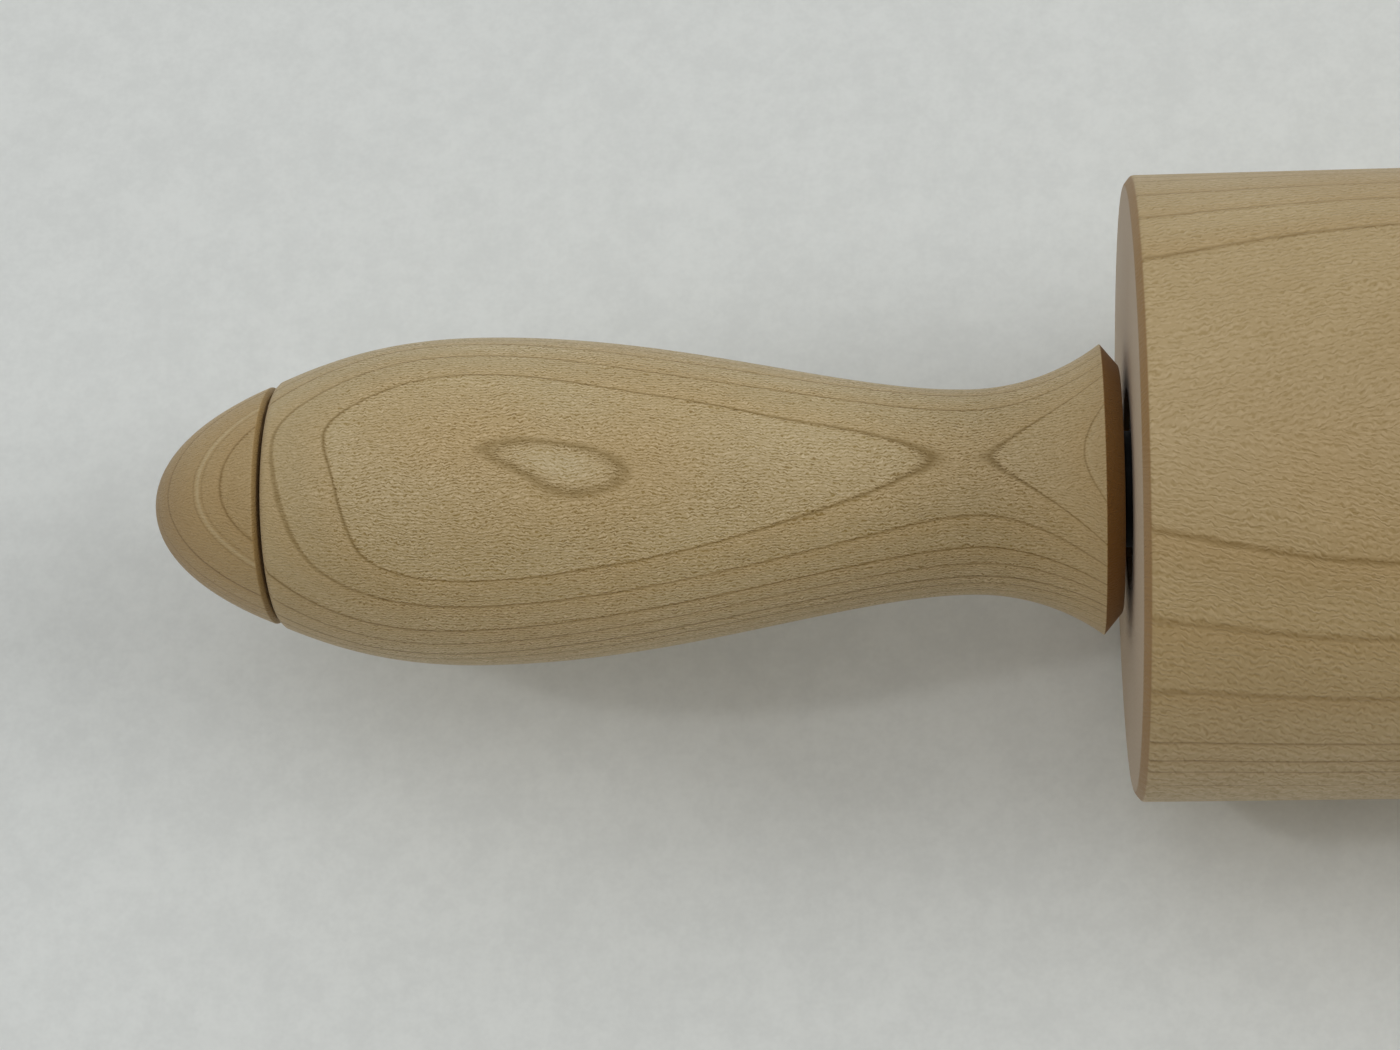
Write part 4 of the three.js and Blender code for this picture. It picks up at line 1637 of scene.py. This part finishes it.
        start, end = bench.span(side, "bearing_cage")
        ring = tube(start, end, self.cage_inside, self.cage_outside, self.cage_soften)
        turning = Turning(bench.outward(side, ring), self.segments)
        cage = workshop.turn(side.of("crown_cage"), turning, materials.inner(Stuff.CAGE_NYLON))
        workshop.shape(
            cage, workshop.pockets, self.spheres(self.pocket_radius, Stuff.CAGE_NYLON, materials)
        )
        hold(cage, cage_body, "cage_nylon", side.of("bearing_cage"))

        balls = workshop.blank(side.of("balls"))
        workshop.shape(balls, workshop.balls, self.spheres(self.ball_radius, Stuff.BALL_STEEL, materials))
        nodes = [f"{side.of('bearing_ball')}_{number + 1}" for number in range(self.ball_count)]
        hold(balls, cage_body, "ball_steel", *nodes)


@dataclass(frozen=True)
class Handle:
    """A turned maple handle: a flare beside the barrel, a thin neck and a long bulging grip."""

    bench: Bench
    side: Side
    flare_radius: float = 16.25
    flare_chamfer_length: float = 2.09
    flare_chamfer_depth: float = 2.5
    neck_radius: float = 11.5
    neck_place: float = 16.7
    grip_radius: float = 18.55
    grip_place: float = 71.8
    end_radius: float = 14.1
    edge_chamfer: float = 0.45
    face_soften: float = 0.25
    flare_soften: float = 0.16
    end_soften: float = 0.15
    flare_slope: float = 0.75
    end_slope: float = 0.42
    flare_pull: float = 0.21
    neck_pull_to_flare: float = 0.45
    neck_pull_to_grip: float = 0.26
    grip_pull_to_neck: float = 0.41
    grip_pull_to_end: float = 0.385
    end_pull: float = 0.32
    bore_radius: float = 5.1
    seat_radius: float = 6.1
    seat_depth: float = 14.1
    spot_radius: float = 8.1
    spot_floor: float = 1.34
    pocket_radius: float = 9.5
    pocket_floor: float = 80.8
    seat_soften: float = 0.2
    pocket_soften: float = 0.3
    curve_steps: int = 40
    segments: int = 192

    @property
    def length(self) -> float:
        """The handle's length, from the frame."""
        start, end = self.bench.span(self.side, "handle")
        return end - start

    def outside(self) -> list[Corner]:
        """The turned outside, from the face beside the barrel to the outer end."""
        end_place = self.length - self.edge_chamfer
        flare_span = self.neck_place - self.flare_chamfer_length
        grip_span = self.grip_place - self.neck_place
        end_span = end_place - self.grip_place
        flare_pull, end_pull = self.flare_pull * flare_span, self.end_pull * end_span
        flare = (self.flare_chamfer_length, self.flare_radius)
        neck, grip = (self.neck_place, self.neck_radius), (self.grip_place, self.grip_radius)
        end = (end_place, self.end_radius)
        return [
            Corner(0.0, self.flare_radius - self.flare_chamfer_depth, self.face_soften),
            Corner(*flare, self.flare_soften),
            *bezier(
                flare,
                (flare[0] + flare_pull, flare[1] - self.flare_slope * flare_pull),
                (neck[0] - self.neck_pull_to_flare * flare_span, neck[1]),
                neck,
                self.curve_steps,
            ),
            *bezier(
                neck,
                (neck[0] + self.neck_pull_to_grip * grip_span, neck[1]),
                (grip[0] - self.grip_pull_to_neck * grip_span, grip[1]),
                grip,
                self.curve_steps,
            ),
            *bezier(
                grip,
                (grip[0] + self.grip_pull_to_end * end_span, grip[1]),
                (end[0] - end_pull, end[1] + self.end_slope * end_pull),
                end,
                self.curve_steps,
            ),
            Corner(self.length, self.end_radius - self.edge_chamfer, self.end_soften),
        ]

    def bores(self) -> list[Corner]:
        """The nut's pocket, the bushes' seats and the bore, from the outer end back to the face."""
        return [
            Corner(self.length, self.pocket_radius, self.pocket_soften),
            Corner(self.pocket_floor, self.pocket_radius),
            Corner(self.pocket_floor, self.seat_radius, self.seat_soften),
            Corner(self.pocket_floor - self.seat_depth, self.seat_radius),
            Corner(self.pocket_floor - self.seat_depth, self.bore_radius),
            Corner(self.spot_floor + self.seat_depth, self.bore_radius),
            Corner(self.spot_floor + self.seat_depth, self.seat_radius),
            Corner(self.spot_floor, self.seat_radius, self.seat_soften),
            Corner(self.spot_floor, self.spot_radius),
            Corner(0.0, self.spot_radius, self.seat_soften),
        ]

    def build(self, workshop: Workshop, materials: Materials) -> None:
        """Turns the handle and dresses it."""
        side, bench = self.side, self.bench
        start = bench.span(side, "handle")[0]
        outline = softened([*self.outside(), *self.bores()])
        placed = bench.outward(side, [(start + along, radius) for along, radius in outline])
        half = self.length / 2
        centre = (bench.row_x(side, start + half), 0.0, bench.axis_height)
        # The flare's chamfer by the barrel: a brown band, partly the tool's browning, partly painted shade
        # and warm bounce from the gap.
        browned_and_shaded = tuple(bench.row_x(side, start + along) for along in (0.0, self.flare_chamfer_length))
        timber = Timber[side.of("handle").upper()]
        maple = materials.maple(timber, centre, half, self.grip_radius, [browned_and_shaded])
        grip = workshop.turn(side.of("grip"), Turning(placed, self.segments), maple)
        hold(grip, side.of("handle"), "handle_maple", side.of("handle"))


@dataclass(frozen=True)
class EndCap:
    """A domed maple cap, its tenon in the nut's pocket and a threaded brass insert glued into it."""

    bench: Bench
    side: Side
    rim_radius: float = 13.5
    rim_chamfer: float = 0.5
    rim_soften: float = 0.12
    length: float = 14.18
    base_slope: float = 0.4
    base_pull: float = 0.386
    tip_pull: float = 0.517
    tenon_length: float = 4.0
    tenon_radius: float = 9.1
    tenon_soften: float = 0.4
    hole_radius: float = 6.1
    hole_soften: float = 0.2
    crown: float = 6.2
    dome_steps: int = 56
    segments: int = 192
    insert_radius: float = 6.0
    insert_soften: float = 0.25
    insert_bore: float = 4.1
    insert_bore_soften: float = 0.3
    insert_groove_width: float = 2.4
    insert_groove_depth: float = 0.6
    insert_groove_soften: float = 0.1
    knurl_count: int = 36
    knurl_depth: float = 0.3
    knurl_fade: float = 0.2
    knurl_steps: int = 6

    def cap_outline(self) -> list[Point]:
        """The cap's half section, from the hole's floor on the axis round to the tip of the dome."""
        dome_span = self.length - self.rim_chamfer
        base_pull = self.base_pull * dome_span
        rim = (self.rim_chamfer, self.rim_radius)
        dome = bezier(
            rim,
            (rim[0] + base_pull, rim[1] - self.base_slope * base_pull),
            (self.length, self.tip_pull * self.rim_radius),
            (self.length, 0.0),
            self.dome_steps,
        )
        floor = self.length - self.crown
        return softened([
            Corner(floor, 0.0),
            Corner(floor, self.hole_radius),
            Corner(-self.tenon_length, self.hole_radius, self.hole_soften),
            Corner(-self.tenon_length, self.tenon_radius, self.tenon_soften),
            Corner(0.0, self.tenon_radius),
            Corner(0.0, self.rim_radius - self.rim_chamfer, self.rim_soften),
            Corner(*rim, self.rim_soften),
            *dome,
        ])

    def insert_outline(self, start: float, end: float) -> list[Point]:
        """The insert's half section, with the groove round its waist that the glue keys into."""
        middle, half = (start + end) / 2, self.insert_groove_width / 2
        waist = self.insert_radius - self.insert_groove_depth
        return softened([
            Corner(start, self.insert_bore, self.insert_bore_soften),
            Corner(start, self.insert_radius, self.insert_soften),
            Corner(middle - half, self.insert_radius, self.insert_groove_soften),
            Corner(middle - half, waist),
            Corner(middle + half, waist),
            Corner(middle + half, self.insert_radius, self.insert_groove_soften),
            Corner(end, self.insert_radius, self.insert_soften),
            Corner(end, self.insert_bore, self.insert_bore_soften),
        ])

    def build(self, workshop: Workshop, materials: Materials) -> None:
        """Turns the cap and its insert and dresses them."""
        side, bench = self.side, self.bench
        back = bench.span(side, "end_cap")[0] + self.tenon_length
        outline = [(back + along, radius) for along, radius in self.cap_outline()]
        centre = (bench.row_x(side, back + self.length / 2), 0.0, bench.axis_height)
        timber = Timber[side.of("cap").upper()]
        # The rim chamfer by the handle: a brown band, partly the tool's browning, partly painted shade and
        # warm bounce from the gap.
        rim = (bench.row_x(side, back), bench.row_x(side, back + self.rim_chamfer))
        maple = materials.maple(timber, centre, self.length / 2, self.rim_radius, [rim])
        dome = workshop.turn(side.of("dome"), Turning(bench.outward(side, outline), self.segments), maple)
        hold(dome, "axle", "cap_maple", side.of("end_cap"))

        start, end = bench.span(side, "cap_insert")
        turning = Turning(
            bench.outward(side, self.insert_outline(start, end)),
            self.knurl_count * self.knurl_steps,
            rib_count=self.knurl_count,
            rib_depth=self.knurl_depth,
            cut_from=bench.half_barrel + start,
            cut_to=bench.half_barrel + end,
            cut_over=self.insert_radius - self.knurl_depth,
            cut_fade=self.knurl_fade,
        )
        insert = workshop.turn(side.of("threaded_insert"), turning, materials.inner(Stuff.BRASS))
        hold(insert, "axle", "insert_brass", side.of("cap_insert"))


@dataclass(frozen=True)
class Fittings:
    """What holds a handle on the rod: a thrust washer, two flanged bushes, a washer and a nut."""

    bench: Bench
    side: Side
    bore_radius: float = 4.1
    bore_soften: float = 0.3
    thrust_radius: float = 6.5
    thrust_soften: float = 0.12
    bush_radius: float = 6.0
    bush_soften: float = 0.5
    flange_radius: float = 8.0
    flange_thickness: float = 1.5
    flange_soften: float = 0.25
    shoulder_soften: float = 0.15
    washer_radius: float = 8.0
    washer_soften: float = 0.2
    nut_sides: int = 6
    nut_flat_radius: float = 6.5
    nut_corner_spare: float = 0.05
    nut_face_share: float = 0.95
    nut_chamfer: float = math.radians(30)
    nut_thread_chamfer: float = 0.4
    segments: int = 72

    def bush(self, stem: str, outward: int) -> list[Point]:
        """A flanged bush's half section.

        Args:
            stem: The bush's node, without its side.
            outward: 1 where its sleeve runs out from its flange, and -1 where it runs in.

        Returns:
            The closed outline.
        """
        places = self.bench.span(self.side, stem)
        face, end = places if outward == 1 else reversed(places)
        shoulder = face + outward * self.flange_thickness
        return softened([
            Corner(face, self.bore_radius, self.bore_soften),
            Corner(face, self.flange_radius, self.flange_soften),
            Corner(shoulder, self.flange_radius, self.shoulder_soften),
            Corner(shoulder, self.bush_radius),
            Corner(end, self.bush_radius, self.bush_soften),
            Corner(end, self.bore_radius, self.bore_soften),
        ])

    def nut(self) -> list[Point]:
        """The half section of the nut's round blank, its corners turned off at both ends."""
        start, end = self.bench.span(self.side, "lock_nut")
        corner_radius = self.nut_flat_radius / math.cos(math.pi / self.nut_sides) + self.nut_corner_spare
        face_radius = self.nut_flat_radius * self.nut_face_share
        fall = (corner_radius - face_radius) * math.tan(self.nut_chamfer)
        chamfer = self.nut_thread_chamfer
        return [
            (start, self.bore_radius + chamfer),
            (start, face_radius),
            (start + fall, corner_radius),
            (end - fall, corner_radius),
            (end, face_radius),
            (end, self.bore_radius + chamfer),
            (end - chamfer, self.bore_radius),
            (start + chamfer, self.bore_radius),
        ]

    def build(self, workshop: Workshop, materials: Materials) -> None:
        """Makes the fittings and dresses them."""
        bench, side = self.bench, self.side
        handle_body = side.of("handle")
        nylon, zinc = Stuff.BUSH_NYLON, Stuff.ZINC
        bore = self.bore_radius
        thrust = tube(*bench.span(side, "thrust_washer"), bore, self.thrust_radius, self.thrust_soften)
        washer = tube(*bench.span(side, "nut_washer"), bore, self.washer_radius, self.washer_soften)
        inner, outer = self.bush("handle_bush_inner", 1), self.bush("handle_bush_outer", -1)
        for piece in (
            InnerPiece("thrust_ring", thrust, nylon, "axle", "bush_nylon", "thrust_washer"),
            InnerPiece("inner_bush", inner, nylon, handle_body, "bush_nylon", "handle_bush_inner"),
            InnerPiece("outer_bush", outer, nylon, handle_body, "bush_nylon", "handle_bush_outer"),
            InnerPiece("plain_washer", washer, zinc, "axle", "fastener_steel", "nut_washer"),
        ):
            piece.build(bench, side, self.segments, workshop, materials)

        hexagon = Turning(
            bench.outward(side, self.nut()),
            self.segments,
            flats=self.nut_sides,
            flat_radius=self.nut_flat_radius,
        )
        nut = workshop.turn(side.of("hexagon_nut"), hexagon, materials.inner(zinc))
        hold(nut, "axle", "fastener_steel", side.of("lock_nut"))


@dataclass(frozen=True)
class PhotoCamera:
    """A camera above the left handle, as the photograph was taken.

    Its place is measured from the point where the rod meets the barrel's left end face: beside it
    along the rod, and away from it at an elevation. Yaw, pitch and roll then turn the camera.
    """

    bench: Bench
    lens: float = 87.145
    sensor: float = 36.0
    clip: Point = (0.01, 100.0)
    beside: float = -16.803
    away: float = 381.077
    elevation: float = math.radians(77)
    yaw: float = math.radians(-4.682)
    pitch: float = math.radians(0.468)
    roll: float = math.radians(1.115)

    def build(self) -> None:
        """Adds the camera and makes it the scene's own."""
        data = bpy.data.cameras.new("photo camera")
        data.lens = self.lens
        data.sensor_width = self.sensor
        data.clip_start, data.clip_end = self.clip
        camera = bpy.data.objects.new("photo_camera", data)
        turn = (
            Matrix.Rotation(math.pi / 2 - self.elevation, 4, "X")
            @ Matrix.Rotation(-self.yaw, 4, "Y")
            @ Matrix.Rotation(-self.pitch, 4, "X")
            @ Matrix.Rotation(-self.roll, 4, "Z")
        )
        end_face = Vector((self.bench.row_x(Side.LEFT, 0.0), 0.0, self.bench.axis_height))
        reach = Vector((0.0, -math.cos(self.elevation), math.sin(self.elevation))) * self.away
        spot = end_face + Vector((self.beside, 0.0, 0.0)) + reach
        camera.matrix_world = Matrix.Translation(spot * MM) @ turn
        bpy.context.scene.collection.objects.link(camera)
        bpy.context.scene.camera = camera


@dataclass(frozen=True)
class Lamp:
    """A far, soft lamp: where it stands in the sky, how strong it is and how wide it looks."""

    name: str
    towards: Place
    strength: float
    width: float
    colour: tuple[float, float, float]

    def build(self) -> None:
        """Adds the lamp."""
        data = bpy.data.lights.new(self.name, "SUN")
        data.energy = self.strength
        data.angle = self.width
        data.color = self.colour
        lamp = bpy.data.objects.new(self.name.replace(" ", "_"), data)
        lamp.rotation_euler = Vector(self.towards).to_track_quat("Z", "Y").to_euler()
        bpy.context.scene.collection.objects.link(lamp)


@dataclass(frozen=True)
class Studio:
    """A plain pale floor under soft light."""

    floor_half: float = 30.0
    floor_colour: Colour = rgb(0.828, 0.863, 0.851)
    floor_shade: Colour = rgb(0.767, 0.800, 0.790)
    floor_mottle: Mottle = Mottle(0.12, 4.0, 0.92)
    floor_roughness: float = 0.9
    floor_specular: float = 0.1
    near_sky: Colour = rgb(0.235, 0.208, 0.170)
    far_sky: Colour = rgb(0.555, 0.570, 0.590)
    sky_limits: Point = (-0.7, 0.7)
    lamps: tuple[Lamp, ...] = (
        Lamp("side lamp", (-0.545, 0.02, 0.839), 0.20, math.radians(4), (1.0, 0.99, 0.97)),
        Lamp("right lamp", (0.74, 0.12, 0.66), 0.68, math.radians(30), (1.0, 1.0, 1.0)),
        Lamp("top lamp", (-0.20, 0.10, 0.97), 0.42, math.radians(60), (1.0, 1.0, 1.0)),
    )

    def _floor(self) -> None:
        """Adds the floor."""
        half = self.floor_half
        mesh = bpy.data.meshes.new("floor")
        mesh.from_pydata(
            [(-half, -half, 0.0), (half, -half, 0.0), (half, half, 0.0), (-half, half, 0.0)],
            [],
            [(0, 1, 2, 3)],
        )
        bench = MaterialBench("pale floor")
        place = bench.place((0.0, 0.0, 0.0))
        mottle = bench.mottled(place, self.floor_mottle)
        bench.set("Base Color", bench.mix(mottle, self.floor_colour, self.floor_shade))
        bench.set("Roughness", self.floor_roughness)
        bench.set("Specular IOR Level", self.floor_specular)
        mesh.materials.append(bench.material)
        floor = bpy.data.objects.new("floor", mesh)
        bpy.context.scene.collection.objects.link(floor)

    def _sky(self) -> None:
        """Lights the scene all round, brighter from behind the pin than from in front of it."""
        world = bpy.data.worlds.new("sky")
        world.use_nodes = True
        sky = NodeBench(world.node_tree)
        towards = sky.parts(sky.add("ShaderNodeTexCoord").outputs["Generated"])[1]
        glow = sky.mix(sky.spread(towards, *self.sky_limits), self.near_sky, self.far_sky)
        sky.feed(world.node_tree.nodes["Background"].inputs["Color"], glow)
        bpy.context.scene.world = world

    def build(self) -> None:
        """Adds the floor, the sky and the lamps, and shows colours as they are."""
        self._floor()
        self._sky()
        for lamp in self.lamps:
            lamp.build()
        bpy.context.scene.view_settings.view_transform = "Standard"


def corners(box: tuple[Vector, Vector]) -> list[list[float]]:
    """A box's lowest and highest corner as plain lists."""
    return [list(corner) for corner in box]


def main() -> None:
    """Builds the pin round its frame, then the camera and the studio."""
    logging.basicConfig(level=logging.INFO, format="%(name)s: %(message)s")
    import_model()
    bench = Bench.from_frame()
    workshop = Workshop(bench)
    materials = Materials(bench)
    assemblies: list[Barrel | Rod | Bearing | Handle | EndCap | Fittings] = [Barrel(bench), Rod(bench)]
    for side in Side:
        assemblies += [kind(bench, side) for kind in (Bearing, Handle, EndCap, Fittings)]
    for assembly in assemblies:
        assembly.build(workshop, materials)
    PhotoCamera(bench).build()
    Studio().build()


if __name__ == "__main__":
    main()
